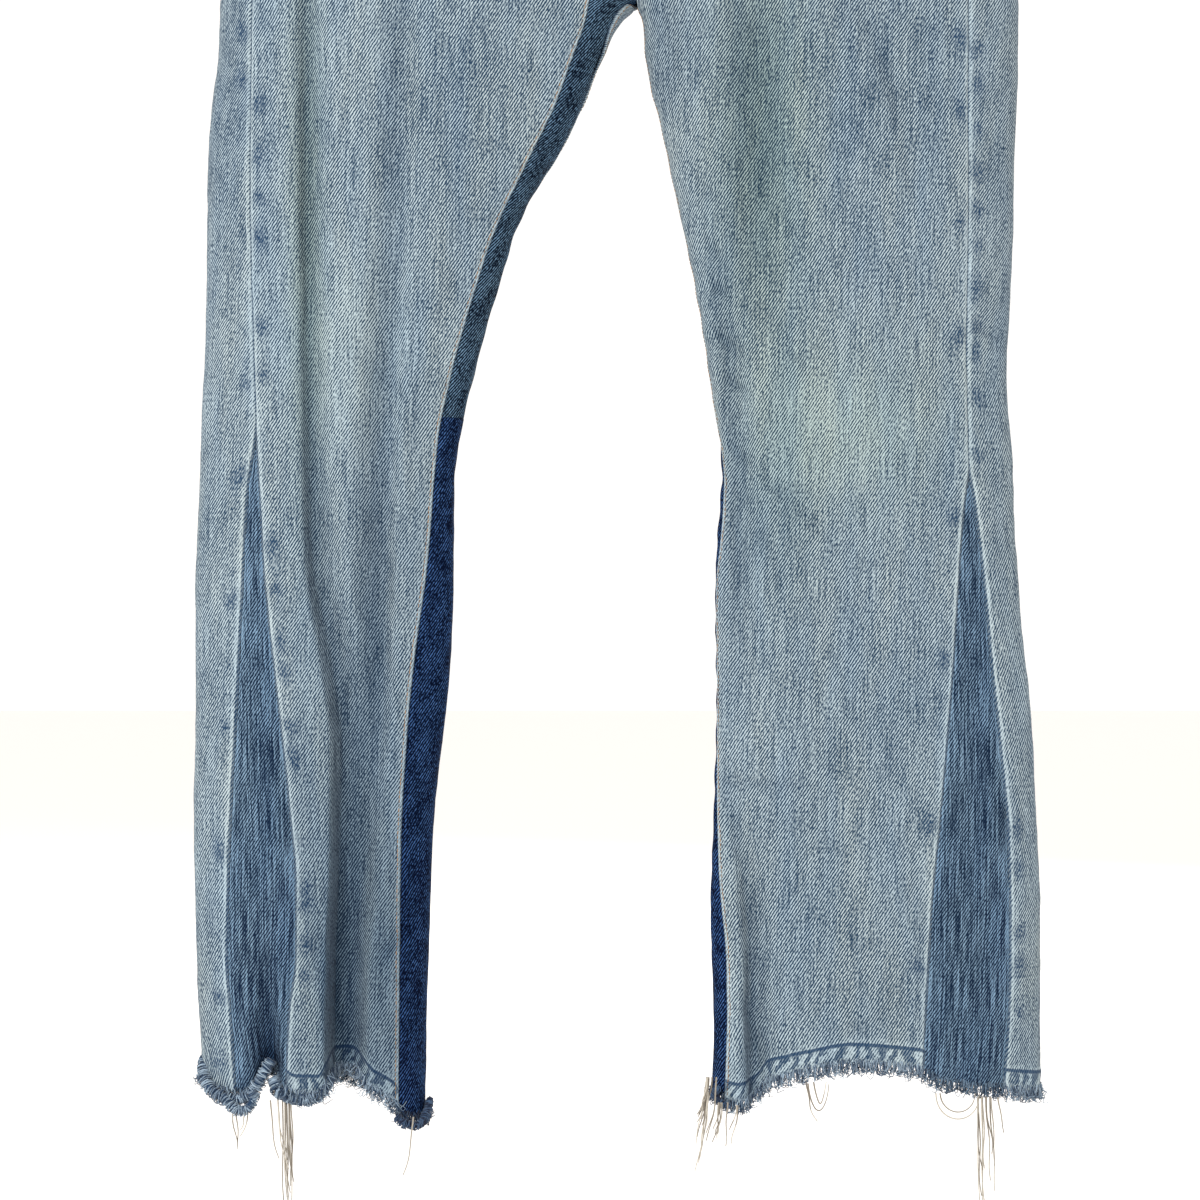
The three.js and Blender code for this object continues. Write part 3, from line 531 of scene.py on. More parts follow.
def lap_ridge(distance, height=0.9):
    """Relief of a piece that is turned under and lies on its neighbour."""
    rise = height * smooth(distance, -1.2, 1.4) * (1 - smooth(distance, 9, 15))
    return rise - 0.5 * (1 - smooth(distance, -0.6, 1.0))


def tucked(distance):
    """Relief of a piece whose edge lies under its neighbour."""
    return -1.1 * (1 - smooth(distance, 0.0, 5.0))


def groove(distance):
    """Relief of a seam whose two edges turn down into a groove."""
    rise = 0.42 * smooth(distance, 0.6, 2.6) * (1 - smooth(distance, 10, 15))
    return -1.2 * (1 - smooth(distance, -0.4, 1.7)) + rise


SEAM_FORMS = {"lap": lap_ridge, "tucked": tucked, "groove": groove, "none": lambda distance: 0 * distance}


def pucker(distance, along, seed, height=0.42, period=27):
    """Small waves that the stitching draws along a seam."""
    phase = along * TWO_PI / period + 1.7 * np.sin(along / 61 + seed) + seed
    return height * np.cos(phase) * smooth(distance, 0.5, 3) * (1 - smooth(distance, 9, 19))


def spots(distance, z, heights):
    """How much of the dark dye is left at each point near a seam: smudges at these heights, and mottling between."""
    found = np.zeros(z.shape)
    for number, height in enumerate(heights):
        size = 7.6 + 2.4 * math.sin(number * 2.4)
        bend = 1.5 * np.sin(distance / 2.2 + number)
        away = ((z - height + bend) / size) ** 2 + ((distance - 6.8) / (5.4 + math.cos(number * 1.9))) ** 2
        found = np.maximum(found, np.exp(-(away**1.3)))
    if len(heights):
        mottled = np.clip(0.2 + ripple(distance * 1.6, z, 77, 21), 0, 1)
        found = np.maximum(found, 0.34 * mottled * smooth(distance, 0.5, 4) * (1 - smooth(distance, 10, 15)))
    return found


def patches(side, points):
    """Paleness and grey-green tint of the front's worn areas, the green partly painted shade along valleys, and
    painted shade in the patches, the folds, the creases and at the crotch.
    """
    x, y, z = (points[..., k] for k in range(3))
    facing = smooth(-y, -6, 6)
    rows = PATCHES[side["name"]]
    found = {key: np.zeros(x.shape) for key in ("pale", "green", "shade")}
    for number, (cx, cz, wide, tall) in enumerate(zip(*(rows[key] for key in "x z wide tall".split()))):
        near = np.exp(-(((x - cx) / wide) ** 2 + ((z - cz) / tall) ** 2)) * facing
        for key, total in found.items():
            total += rows[key][number] * near
    # Painted shade: deeper folds are darker, and the fold walls that face away from the light at the left darker
    # still; dyed holds this painted shade
    depth = (fold_depth(FOLDS[side["name"]]["front"], x, z) * facing
             + fold_depth(FOLDS[side["name"]]["back"], x, z) * (1 - facing))
    front_folds = FOLDS[side["name"]]["front"]
    left_wall = fold_depth(front_folds, x + 5, z) - fold_depth(front_folds, x - 5, z)
    dyed = 1 - np.exp(-np.maximum(depth + 0.5 * left_wall * facing, 0) / 15)
    found["shade"] = np.clip(1 - (1 - found["shade"]) * (1 - 0.8 * dyed), 0, 0.9)
    # Painted shade in the creases
    creased = crease_depth(side, x, z) * facing
    found["shade"] = np.clip(found["shade"] + 0.09 * creased, 0, 0.9)
    # Painted shade between the legs at the crotch, on the faces that do not face forward
    crotch = np.exp(-(((x - CROTCH_X) / 40) ** 2 + ((z - CROTCH_Z) / 60) ** 2)) * (1 - facing)
    found["shade"] = np.maximum(found["shade"], 0.75 * crotch)
    # Painted shade: deep folds are also made less pale
    found["pale"] -= 0.02 * depth
    return found


def dress(grid, left_seam, right_seam, seed, spot_left=(), spot_right=(), banded=True, lift=0.0, way=0):
    """Gives a grid its relief, its weave coordinates and the marks that its material reads.

    way is 1 or -1 for a front or back panel, whose grain keeps straight down the leg.
    """
    side, points = grid["side"], grid["points"]
    x, z = points[..., 0] + 90 * smooth(points[..., 1], -4, 4), grid["z"]
    seam = np.minimum(np.where(left_seam == "none", 99, grid["left"]),
                      np.where(right_seam == "none", 99, grid["right"]))
    relief = SEAM_FORMS[left_seam](grid["left"]) + SEAM_FORMS[right_seam](grid["right"])
    left_waves = pucker(grid["left"], z, seed) * (left_seam != "none")
    relief += left_waves + pucker(grid["right"], z, seed + 2) * (right_seam != "none")
    relief += 0.45 * ripple(x, z, seed, 85) + 0.18 * ripple(x, z, seed + 7, 26)
    up = grid["up"]
    if banded:
        slant = (x * 0.86 + z * 0.5) * TWO_PI / 9.5
        ropes = 0.35 * np.sin(slant + 1.3 * np.sin(x / 17)) * (1 - smooth(up, 10, 16))
        relief += ropes + 0.35 * (1 - smooth(up, 12.5, 15.5))
    marks = patches(side, points)
    middle = slice(points.shape[1] // 2, points.shape[1] // 2 + 1)
    grid.update(
        relief=relief + lift, seam=seam, spot=np.maximum(spots(grid["left"], z, spot_left),
                                                         spots(grid["right"], z, spot_right)),
        pale=marks["pale"] + 0.12 * ripple(x, z, seed + 3, 150), green=marks["green"], shade=marks["shade"],
        hem=up if banded else up + 60, v=z,
        u=(grid["left"] - grid["left"][:, middle]) * side["out"] + way * points[:, middle, 0])
    return grid


def leg_grids(name):
    """Grids of one leg's cut pieces."""
    side = SIDES[name]
    marks = SEAM_SPOTS[name]
    fly = name == "left"

    def front_reach(level):
        """The left front laps over the right one above the crotch; below it both end at the strip."""
        over = 14 if fly else 5
        return 0.3 + over * float(smooth(level, side["strip_tip"] + 4, side["strip_tip"] + 30))

    def back_reach(level):
        return 0.3 + 5 * float(smooth(level, side["strip_tip"] + 4, side["strip_tip"] + 30))

    def below(level):
        return LEVELS[LEVELS < level]

    upper_levels = LEVELS[(LEVELS < side["strip_tip"] + 1) & (LEVELS > STRIP_JOIN_Z)]
    grids = {
        "front": dress(panel(side, front_edges, LEVELS, across(52, (front_reach, 1.2)), from_top(front_top(side))),
                       "lap", "lap", 3 if fly else 11, spot_right=marks["front"], way=1),
        "back": dress(panel(side, back_edges, LEVELS, across(56, (1.2, back_reach)),
                            from_top(lambda share: yoke_line(share) + 6.0)),
                      "lap", "lap", 5 if fly else 13, spot_left=marks["back"], way=-1),
        "godet": dress(panel(side, godet_edges, below(side["godet_tip"] + 1), across(14, (7, 7))),
                       "tucked", "tucked", 19 if fly else 23, banded=False),
        "strip_upper": dress(panel(side, strip_edges, upper_levels, across(10, (6, 6))),
                             "tucked", "tucked", 31 if fly else 37, banded=False),
        "strip_lower": dress(panel(side, strip_edges, below(STRIP_JOIN_Z + 4), across(10, (6, 6))),
                             "tucked", "tucked", 41 if fly else 43, banded=False),
    }
    if not fly:
        grids["back"]["hem"] = grids["back"]["hem"] + 60 * smooth(-grids["back"]["points"][..., 1], 0, 8)
        corner = grids["back"]["points"] - (-293, -20, -1032)
        blotch = np.exp(-((corner[..., 0] / 9) ** 2 + (corner[..., 2] / 8) ** 2))
        grids["back"]["spot"] = np.maximum(grids["back"]["spot"],
                                           0.8 * blotch * (grids["back"]["points"][..., 1] < 0))
    for key, edge in (("front", "right"), ("back", "left")):
        grid = grids[key]
        open_seam = groove(grid[edge]) - lap_ridge(grid[edge])
        blend_z = smooth(grid["z"], side["godet_tip"] - 12, side["godet_tip"] + 12)
        grid["relief"] = grid["relief"] + open_seam * blend_z
    return grids


# Meshes and nodes

def linear(code, alpha=True):
    """Turns an sRGB hex colour into linear values."""
    values = [int(code[i:i + 2], 16) / 255 for i in (1, 3, 5)]
    values = [v / 12.92 if v <= 0.04045 else ((v + 0.055) / 1.055) ** 2.4 for v in values]
    return (*values, 1.0) if alpha else tuple(values)


def node(tree, kind, links=None, stops=(), **settings):
    """Adds a node with its settings and links.

    links gives each input a value, an output, or a node whose first output it takes; stops fill a colour ramp.
    """
    made = tree.nodes.new(kind)
    for name, value in settings.items():
        setattr(made, name, value)
    for socket, source in (links or {}).items():
        if isinstance(source, bpy.types.Node):
            source = source.outputs[0]
        if isinstance(source, bpy.types.NodeSocket):
            tree.links.new(source, made.inputs[socket])
        else:
            made.inputs[socket].default_value = source
    for number, (position, colour_here) in enumerate(stops):
        elements = made.color_ramp.elements
        element = elements[number] if number < 2 else elements.new(position)
        element.position, element.color = position, colour_here
    return made


def start_material(name):
    """An empty node material."""
    material = bpy.data.materials.new(name)
    material.use_nodes = True
    material.node_tree.nodes.clear()
    return material, material.node_tree


def link_object(name, mesh):
    made = bpy.data.objects.new(name, mesh)
    bpy.context.scene.collection.objects.link(made)
    return made


def finish_piece(made, slot, *nodes):
    """The piece takes the place of its nodes and moves with the frame."""
    if nodes:
        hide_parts(*nodes)
    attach(made, "root")
    return made


# Marks that the denim reads: shade is painted shade, and green a grey-green tint that is partly painted shade along
# valleys
MARKS = ("seam", "hem", "spot", "pale", "green", "shade")


def grid_mesh(name, grid, thickness, materials):
    """One layer of cloth from a grid, with its weave coordinates and marks, thickened inwards."""
    points = raised(grid, grid["relief"]) * MM
    rows, columns = points.shape[:2]
    index = np.arange(rows * columns).reshape(rows, columns)
    corners = [index[:-1, :-1], index[1:, :-1], index[1:, 1:], index[:-1, 1:]]
    if grid["flip"]:
        corners.reverse()
    faces = np.stack(corners, axis=-1).reshape(-1, 4)
    mesh = bpy.data.meshes.new(name)
    mesh.from_pydata(points.reshape(-1, 3).tolist(), [], faces.tolist())
    weave = mesh.uv_layers.new(name="weave")
    loops = np.empty(len(mesh.loops), int)
    mesh.loops.foreach_get("vertex_index", loops)
    flat = np.stack([grid["u"].ravel(), grid["v"].ravel()], axis=-1) * MM
    weave.data.foreach_set("uv", flat[loops].ravel())
    for mark in MARKS:
        layer = mesh.attributes.new(mark, "FLOAT", "POINT")
        layer.data.foreach_set("value", np.ascontiguousarray(grid[mark].ravel(), float))
    mesh.shade_smooth()
    for material in materials:
        mesh.materials.append(material)
    made = link_object(name, mesh)
    wall = made.modifiers.new("Cloth thickness", "SOLIDIFY")
    wall.thickness = thickness
    wall.offset = -1
    wall.material_offset = len(materials) - 1
    return made


def sheet_area(grid):
    """Flat area of a cut piece in square metres, and its width and length."""
    points = grid["points"] * MM
    a, b, c, d = points[:-1, :-1], points[1:, :-1], points[1:, 1:], points[:-1, 1:]
    halves = [np.linalg.norm(np.cross(b - a, c - a), axis=-1), np.linalg.norm(np.cross(c - a, d - a), axis=-1)]
    area = (halves[0] + halves[1]).sum() / 2
    width = (grid["left"] + grid["right"]).max() * MM
    length = grid["down"].max() * MM
    return float(area), float(width), float(length)


def declare_sheet(grid):
    """Works out a piece's greatest width, its length and its area, and keeps none of them."""
    area, width, length = sheet_area(grid)
    length = max(length, 1.02 * area / width)


# Materials

# Real 3x1 denim has about 1.3 mm from one twill line to the next; it is drawn coarser so that it shows
TWILL_LINE = 1.8 * MM
TWILL_TURN = math.radians(33)
BAND_ROPING = 9.5 * MM

# What a seam does to the colour, by distance in mm / 20: red is how far it is rubbed pale, green how far unfaded
SEAM_PROFILE = [(0.0, (0.2, 0.85, 0, 1)), (0.02, (0.5, 0.4, 0, 1)), (0.036, (1, 0, 0, 1)), (0.10, (1, 0, 0, 1)),
                (0.15, (0.3, 0, 0, 1)), (0.30, (0.1, 0, 0, 1)), (0.75, (0, 0, 0, 1))]
# The same for the hem, by height above the raw edge in mm / 20; blue is where the band shows its roping
HEM_PROFILE = [(0.0, (1, 0, 0, 1)), (0.09, (1, 0, 0, 1)), (0.15, (0.3, 0, 0.6, 1)), (0.24, (0, 0, 1, 1)),
               (0.56, (0, 0, 1, 1)), (0.62, (0, 1, 0.6, 1)), (0.70, (0, 1, 0, 1)), (0.745, (0.5, 0, 0, 1)),
               (0.85, (0.12, 0, 0, 1)), (0.97, (0, 0, 0, 1))]


def denim(name, warp, weft, streaks, grain, twill, wash=0.4, bleached=0.5, nap=0.08):
    """Washed cotton denim: indigo warp over white weft in twill lines, slubby, pale where it rubs and dark in seams.

    streaks, grain and twill are the shares of upright slub, salt-and-pepper grain and twill lines in the colour,
    wash is how much of the weft's colour shows, bleached how far seams have faded, and nap the cloth's soft sheen.
    """
    material, tree = start_material(name)
    uv = node(tree, "ShaderNodeUVMap", uv_map="weave")
    marks = {key: node(tree, "ShaderNodeAttribute", attribute_name=key).outputs["Fac"] for key in MARKS}
    turned = node(tree, "ShaderNodeMapping", {"Vector": uv, "Rotation": (0, 0, TWILL_TURN)})
    lines = node(tree, "ShaderNodeTexWave", {
        "Vector": turned, "Scale": TWO_PI / (20 * TWILL_LINE), "Distortion": 1.5, "Detail": 2.0, "Detail Scale": 1.6,
    }, wave_type="BANDS", bands_direction="X").outputs["Fac"]
    slanted = node(tree, "ShaderNodeMapping", {"Vector": uv, "Rotation": (0, 0, math.radians(16))})
    roping = node(tree, "ShaderNodeTexWave", {
        "Vector": slanted, "Scale": TWO_PI / (20 * BAND_ROPING), "Distortion": 9.0, "Detail": 3.0,
        "Detail Scale": 1.7,
    }, wave_type="BANDS", bands_direction="X").outputs["Fac"]
    # Uneven yarns: long upright slubs, fine grain, twill that comes and goes, and clouds of wear
    noises = {}
    for key, stretch, detail in (("slub", (880, 24, 1), 2.5), ("pepper", (700, 420, 1), 1.5),
                                 ("cloud", (30, 15, 1), 4.0),
                                 ("patchy", (95, 60, 1), 2.0), ("tone", (40, 7, 1), 3.0)):
        place = node(tree, "ShaderNodeMapping", {"Vector": uv, "Scale": stretch})
        noises[key] = node(tree, "ShaderNodeTexNoise", {"Vector": place, "Scale": 1.0, "Detail": detail,
                                                        "Roughness": 0.58}).outputs["Fac"]
    strength = node(tree, "ShaderNodeMapRange", {"Value": noises["patchy"], "From Min": 0.3, "From Max": 0.7,
                                                 "To Min": 0.35 * twill, "To Max": 1.5 * twill})
    centred = node(tree, "ShaderNodeMath", {0: lines, 1: 0.5}, operation="SUBTRACT")

    hem_place = node(tree, "ShaderNodeMath", {0: noises["cloud"], 1: 3.0, 2: marks["hem"]}, operation="MULTIPLY_ADD")
    hem_place = node(tree, "ShaderNodeMath", {0: hem_place, 1: 1.5}, operation="SUBTRACT")
    profiles = []
    for measure, stops in ((marks["seam"], SEAM_PROFILE), (hem_place, HEM_PROFILE)):
        scaled = node(tree, "ShaderNodeMath", {0: measure, 1: 20.0}, operation="DIVIDE", use_clamp=True)
        profile = node(tree, "ShaderNodeValToRGB", {"Fac": scaled}, stops)
        profiles.append(node(tree, "ShaderNodeSeparateColor", {"Color": profile}).outputs)
    (seam_pale, seam_dark, _), (hem_pale, hem_dark, band) = profiles
    ropes = []
    for low, high in ((0.42, 0.18), (0.5, 0.85)):
        part = node(tree, "ShaderNodeMapRange", {"Value": roping, "From Min": low, "From Max": high})
        ropes.append(node(tree, "ShaderNodeMath", {0: part, 1: band}, operation="MULTIPLY"))
    rope_dark, rope_pale = ropes

    value = wash - 0.5 * (streaks + grain + 0.26)
    for source, share in ((centred, strength), (noises["slub"], streaks), (noises["pepper"], grain),
                          (noises["cloud"], 0.26),
                          (marks["pale"], 0.45), (seam_pale, 0.85 * bleached), (hem_pale, 0.8 * bleached),
                          (rope_pale, 0.7 * bleached)):
        value = node(tree, "ShaderNodeMath", {0: source, 1: share, 2: value}, operation="MULTIPLY_ADD")
    woven = node(tree, "ShaderNodeValToRGB", {"Fac": value}, [(0.0, warp), (1.0, weft)])

    spot = node(tree, "ShaderNodeMapRange", {"Value": noises["pepper"], "From Min": 0.35, "From Max": 0.65,
                                             "To Min": 1.0,
                                             "To Max": 0.3})
    spot = node(tree, "ShaderNodeMath", {0: spot, 1: marks["spot"]}, operation="MULTIPLY")
    unfaded = node(tree, "ShaderNodeMath", {0: seam_dark, 1: 0.75}, operation="MULTIPLY")
    for source, share in ((hem_dark, 0.85), (rope_dark, 0.62), (spot, 1.0)):
        part = node(tree, "ShaderNodeMath", {0: source, 1: share}, operation="MULTIPLY", use_clamp=True)
        unfaded = node(tree, "ShaderNodeMath", {0: unfaded, 1: part}, operation="MAXIMUM")
    deep = node(tree, "ShaderNodeMix", {0: 0.35, 6: warp, 7: linear("#12365c")}, data_type="RGBA").outputs[2]
    inked = node(tree, "ShaderNodeMix", {0: unfaded, 6: woven, 7: deep}, data_type="RGBA").outputs[2]
    # Grey-green tint from the green mark: on the knees a tint of the cloth, along the valleys painted shade
    green_tinted_and_shaded = node(tree, "ShaderNodeMix", {0: marks["green"], 6: inked, 7: (0.86, 0.90, 0.76, 1)},
                  data_type="RGBA", blend_type="MULTIPLY", clamp_factor=True).outputs[2]
    tone = node(tree, "ShaderNodeValToRGB", {"Fac": noises["tone"]},
                [(0.34, (0.92, 0.96, 1.0, 1)), (0.66, (1.08, 1.05, 1.0, 1))])
    toned = node(tree, "ShaderNodeMix", {0: 1.0, 6: green_tinted_and_shaded, 7: tone}, data_type="RGBA",
                 blend_type="MULTIPLY").outputs[2]
    # Painted shade from the shade mark: folds, creases, the crotch and the listed patches turn darker and blue-grey
    shaded = node(tree, "ShaderNodeMix", {0: marks["shade"], 6: toned, 7: (0.14, 0.24, 0.37, 1)},
                  data_type="RGBA", blend_type="MULTIPLY", clamp_factor=True).outputs[2]

    height = 0.0
    for source, share in ((lines, 0.6), (noises["slub"], 0.5), (noises["pepper"], 0.6)):
        height = node(tree, "ShaderNodeMath", {0: source, 1: share, 2: height}, operation="MULTIPLY_ADD")
    bump = node(tree, "ShaderNodeBump", {"Height": height, "Strength": 0.6, "Distance": 0.0006})
    shader = node(tree, "ShaderNodeBsdfPrincipled", {
        "Base Color": shaded, "Roughness": 0.9, "Sheen Weight": nap, "Sheen Roughness": 0.5,
        "Specular IOR Level": 0.05, "Normal": bump,
    })
    node(tree, "ShaderNodeOutputMaterial", {"Surface": shader})
    return material


def cotton_yarn(name, dark, pale, roughness=0.95):
    """Loose or sewn cotton yarn: matt and fuzzy, each strand of its own tint."""
    material, tree = start_material(name)
    tint = node(tree, "ShaderNodeAttribute", attribute_name="tint").outputs["Fac"]
    place = node(tree, "ShaderNodeTexCoord").outputs["Object"]
    twist = node(tree, "ShaderNodeTexNoise", {"Vector": place, "Scale": 620.0, "Detail": 2.0})
    share = node(tree, "ShaderNodeMath", {0: twist, 1: 0.55, 2: tint}, operation="MULTIPLY_ADD", use_clamp=True)
    ramp = node(tree, "ShaderNodeValToRGB", {"Fac": share}, [(0.15, dark), (1.0, pale)])
    bump = node(tree, "ShaderNodeBump", {"Height": twist, "Strength": 0.5, "Distance": 0.0003})
    shader = node(tree, "ShaderNodeBsdfPrincipled", {
        "Base Color": ramp, "Roughness": roughness, "Sheen Weight": 0.2, "Normal": bump, "Specular IOR Level": 0.2,
    })
    node(tree, "ShaderNodeOutputMaterial", {"Surface": shader})
    return material


def worn_brass(name):
    """Pressed brass of a jeans button: dull and scratched, in patches of darker tarnish."""
    material, tree = start_material(name)
    place = node(tree, "ShaderNodeTexCoord").outputs["Object"]
    tarnish = node(tree, "ShaderNodeTexNoise", {"Vector": place, "Scale": 420.0, "Detail": 4.0})
    ramp = node(tree, "ShaderNodeValToRGB", {"Fac": tarnish}, [(0.3, linear("#6f5733")), (0.7, linear("#b6955b"))])
    rough = node(tree, "ShaderNodeMapRange", {"Value": tarnish, "To Min": 0.5, "To Max": 0.28})
    bump = node(tree, "ShaderNodeBump", {"Height": tarnish, "Strength": 0.25, "Distance": 0.0002})
    shader = node(tree, "ShaderNodeBsdfPrincipled", {"Base Color": ramp, "Metallic": 1.0, "Roughness": rough,
                                                     "Normal": bump})
    node(tree, "ShaderNodeOutputMaterial", {"Surface": shader})
    return material


# Geometry nodes

def geometry_tree(name, *inputs):
    """An empty geometry node tree with named inputs, each (name, socket type, default)."""
    tree = bpy.data.node_groups.new(name, "GeometryNodeTree")
    tree.interface.new_socket("Geometry", in_out="OUTPUT", socket_type="NodeSocketGeometry")
    tree.interface.new_socket("Geometry", in_out="INPUT", socket_type="NodeSocketGeometry")
    for label, kind, default in inputs:
        socket = tree.interface.new_socket(label, in_out="INPUT", socket_type=kind)
        if default is not None:
            socket.default_value = default
    return tree


def stitch_tree():
    """Stitches laid end to end along the lines of a mesh."""
    tree = geometry_tree(
        "Sewn stitches", ("Pitch", "NodeSocketFloat", 3.2 * MM), ("Thread", "NodeSocketFloat", 0.42 * MM),
        ("Seed", "NodeSocketInt", 3), ("Material", "NodeSocketMaterial", None))
    given = node(tree, "NodeGroupInput").outputs
    line = node(tree, "GeometryNodeMeshToCurve", {"Mesh": given["Geometry"]}).outputs["Curve"]
    places = node(tree, "GeometryNodeCurveToPoints", {"Curve": line, "Length": given["Pitch"]}, mode="LENGTH")
    long = node(tree, "ShaderNodeMath", {0: given["Pitch"], 1: 0.74}, operation="MULTIPLY").outputs[0]
    thread = node(tree, "GeometryNodeMeshCylinder", {
        "Vertices": 5, "Side Segments": 2, "Radius": given["Thread"], "Depth": long}, fill_type="TRIANGLE_FAN")
    uneven = node(tree, "FunctionNodeRandomValue", {2: 0.8, 3: 1.12, "Seed": given["Seed"]},
                  data_type="FLOAT").outputs[1]
    laid = node(tree, "GeometryNodeInstanceOnPoints", {
        "Points": places.outputs["Points"], "Instance": thread.outputs["Mesh"],
        "Rotation": places.outputs["Rotation"],
        "Scale": uneven}).outputs["Instances"]
    tint = node(tree, "FunctionNodeRandomValue", {2: 0.0, 3: 0.8, "Seed": given["Seed"]},
                data_type="FLOAT").outputs[1]
    tinted = node(tree, "GeometryNodeStoreNamedAttribute", {"Geometry": laid, "Name": "tint", "Value": tint},
                  data_type="FLOAT", domain="INSTANCE").outputs["Geometry"]
    real = node(tree, "GeometryNodeRealizeInstances", {"Geometry": tinted}).outputs["Geometry"]
    painted = node(tree, "GeometryNodeSetMaterial", {"Geometry": real,
                                                     "Material": given["Material"]}).outputs["Geometry"]
    node(tree, "NodeGroupOutput", {"Geometry": painted})
    return tree


def fray_tree():
    """Frayed yarn ends that hang and curl from a line: each starts straight and wanders more towards its tip."""
    tree = geometry_tree(
        "Frayed yarn ends", ("Count", "NodeSocketInt", 600), ("Length", "NodeSocketFloat", 11 * MM),
        ("Yarn", "NodeSocketFloat", 0.34 * MM), ("Curl", "NodeSocketFloat", 3.6 * MM),
        ("Spread", "NodeSocketFloat", 0.5), ("Seed", "NodeSocketInt", 5), ("Material", "NodeSocketMaterial", None))
    given = node(tree, "NodeGroupInput").outputs
    line = node(tree, "GeometryNodeMeshToCurve", {"Mesh": given["Geometry"]}).outputs["Curve"]
    roots = node(tree, "GeometryNodeCurveToPoints", {"Curve": line, "Count": given["Count"]},
                 mode="COUNT").outputs["Points"]

    wide = node(tree, "ShaderNodeMath", {0: given["Spread"], 1: -1.0}, operation="MULTIPLY")
    least = node(tree, "ShaderNodeCombineXYZ", {"X": wide, "Y": wide, "Z": -3.1})
    most = node(tree, "ShaderNodeCombineXYZ", {"X": given["Spread"], "Y": given["Spread"], "Z": 3.1})
    chances = {}
    for key, kind, low, high, offset in (
            ("shift", "FLOAT_VECTOR", (-0.0011, -0.0008, -0.0010), (0.0011, 0.0004, 0.0020), 11),
            ("lean", "FLOAT_VECTOR", least, most, 23), ("long", "FLOAT", 0.5, 1.0, 31),
            ("tint", "FLOAT", -0.3, 0.68, 47)):
        seed = node(tree, "ShaderNodeMath", {0: given["Seed"], 1: offset}, operation="ADD")
        first, last, out = (0, 1, 0) if kind == "FLOAT_VECTOR" else (2, 3, 1)
        chances[key] = node(tree, "FunctionNodeRandomValue", {first: low, last: high, "Seed": seed},
                            data_type=kind).outputs[out]
    roots = node(tree, "GeometryNodeSetPosition", {"Geometry": roots, "Offset": chances["shift"]})
    yarn = node(tree, "GeometryNodeCurveQuadraticBezier", {
        "Resolution": 7, "Start": (0, 0, 0), "Middle": (0.05, 0, -1.25), "End": (0.42, 0, -0.72)})
    length = node(tree, "ShaderNodeMath", {0: chances["long"], 1: given["Length"]}, operation="MULTIPLY")
    lean = chances["lean"]
    hung = node(tree, "GeometryNodeInstanceOnPoints", {
        "Points": roots, "Instance": yarn, "Rotation": lean, "Scale": length}).outputs["Instances"]
    hung = node(tree, "GeometryNodeStoreNamedAttribute", {"Geometry": hung, "Name": "tint", "Value": chances["tint"]},
                data_type="FLOAT", domain="INSTANCE").outputs["Geometry"]
    real = node(tree, "GeometryNodeRealizeInstances", {"Geometry": hung}).outputs["Geometry"]
    along = node(tree, "GeometryNodeSplineParameter").outputs["Factor"]
    grow = node(tree, "ShaderNodeMath", {0: along, 1: 1.3}, operation="POWER").outputs[0]
    place = node(tree, "GeometryNodeInputPosition").outputs["Position"]
    drift = node(tree, "ShaderNodeTexNoise", {"Vector": place, "Scale": 330.0, "Detail": 1.0}).outputs["Color"]
    drift = node(tree, "ShaderNodeVectorMath", {0: drift, 1: (0.5, 0.5, 0.5)}, operation="SUBTRACT").outputs["Vector"]
    reach = node(tree, "ShaderNodeMath", {0: grow, 1: given["Curl"]}, operation="MULTIPLY").outputs[0]
    drift = node(tree, "ShaderNodeVectorMath", {0: drift, "Scale": reach}, operation="SCALE").outputs["Vector"]
    drift = node(tree, "ShaderNodeVectorMath", {0: drift, 1: (3.2, 3.2, 2.0)}, operation="MULTIPLY").outputs["Vector"]
    curled = node(tree, "GeometryNodeSetPosition", {"Geometry": real, "Offset": drift}).outputs["Geometry"]
    taper = node(tree, "ShaderNodeMapRange", {"Value": along, "To Min": 1.0, "To Max": 0.5}).outputs[0]
    thick = node(tree, "ShaderNodeMath", {0: taper, 1: given["Yarn"]}, operation="MULTIPLY").outputs[0]
    round_it = node(tree, "GeometryNodeCurvePrimitiveCircle", {"Resolution": 4, "Radius": 1.0}).outputs["Curve"]
    solid = node(tree, "GeometryNodeCurveToMesh", {
        "Curve": curled, "Profile Curve": round_it, "Scale": thick, "Fill Caps": True})
    real = node(tree, "GeometryNodeRealizeInstances", {"Geometry": solid.outputs["Mesh"]}).outputs["Geometry"]
    painted = node(tree, "GeometryNodeSetMaterial", {"Geometry": real,
                                                     "Material": given["Material"]}).outputs["Geometry"]
    node(tree, "NodeGroupOutput", {"Geometry": painted})
    return tree


def grow_on(name, tree, lines, **inputs):
    """Runs a geometry node tree on lines of points in millimetres and keeps the result as a plain mesh."""
    points, edges = [], []
    for line in lines:
        start = len(points)
        points += (np.asarray(line) * MM).tolist()
        edges += [(start + i, start + i + 1) for i in range(len(line) - 1)]
    path = bpy.data.meshes.new(name + "_path")
    path.from_pydata(points, edges, [])
    made = link_object(name, path)
    modifier = made.modifiers.new("Growth", "NODES")
    modifier.node_group = tree
    for item in tree.interface.items_tree:
        if item.in_out == "INPUT" and item.name in inputs:
            modifier[item.identifier] = inputs[item.name]
    bpy.context.view_layer.update()
    graph = bpy.context.evaluated_depsgraph_get()
    mesh = bpy.data.meshes.new_from_object(made.evaluated_get(graph), preserve_all_data_layers=True, depsgraph=graph)
    mesh.name = name
    made.modifiers.clear()
    made.data = mesh
    bpy.data.meshes.remove(path)
    return made


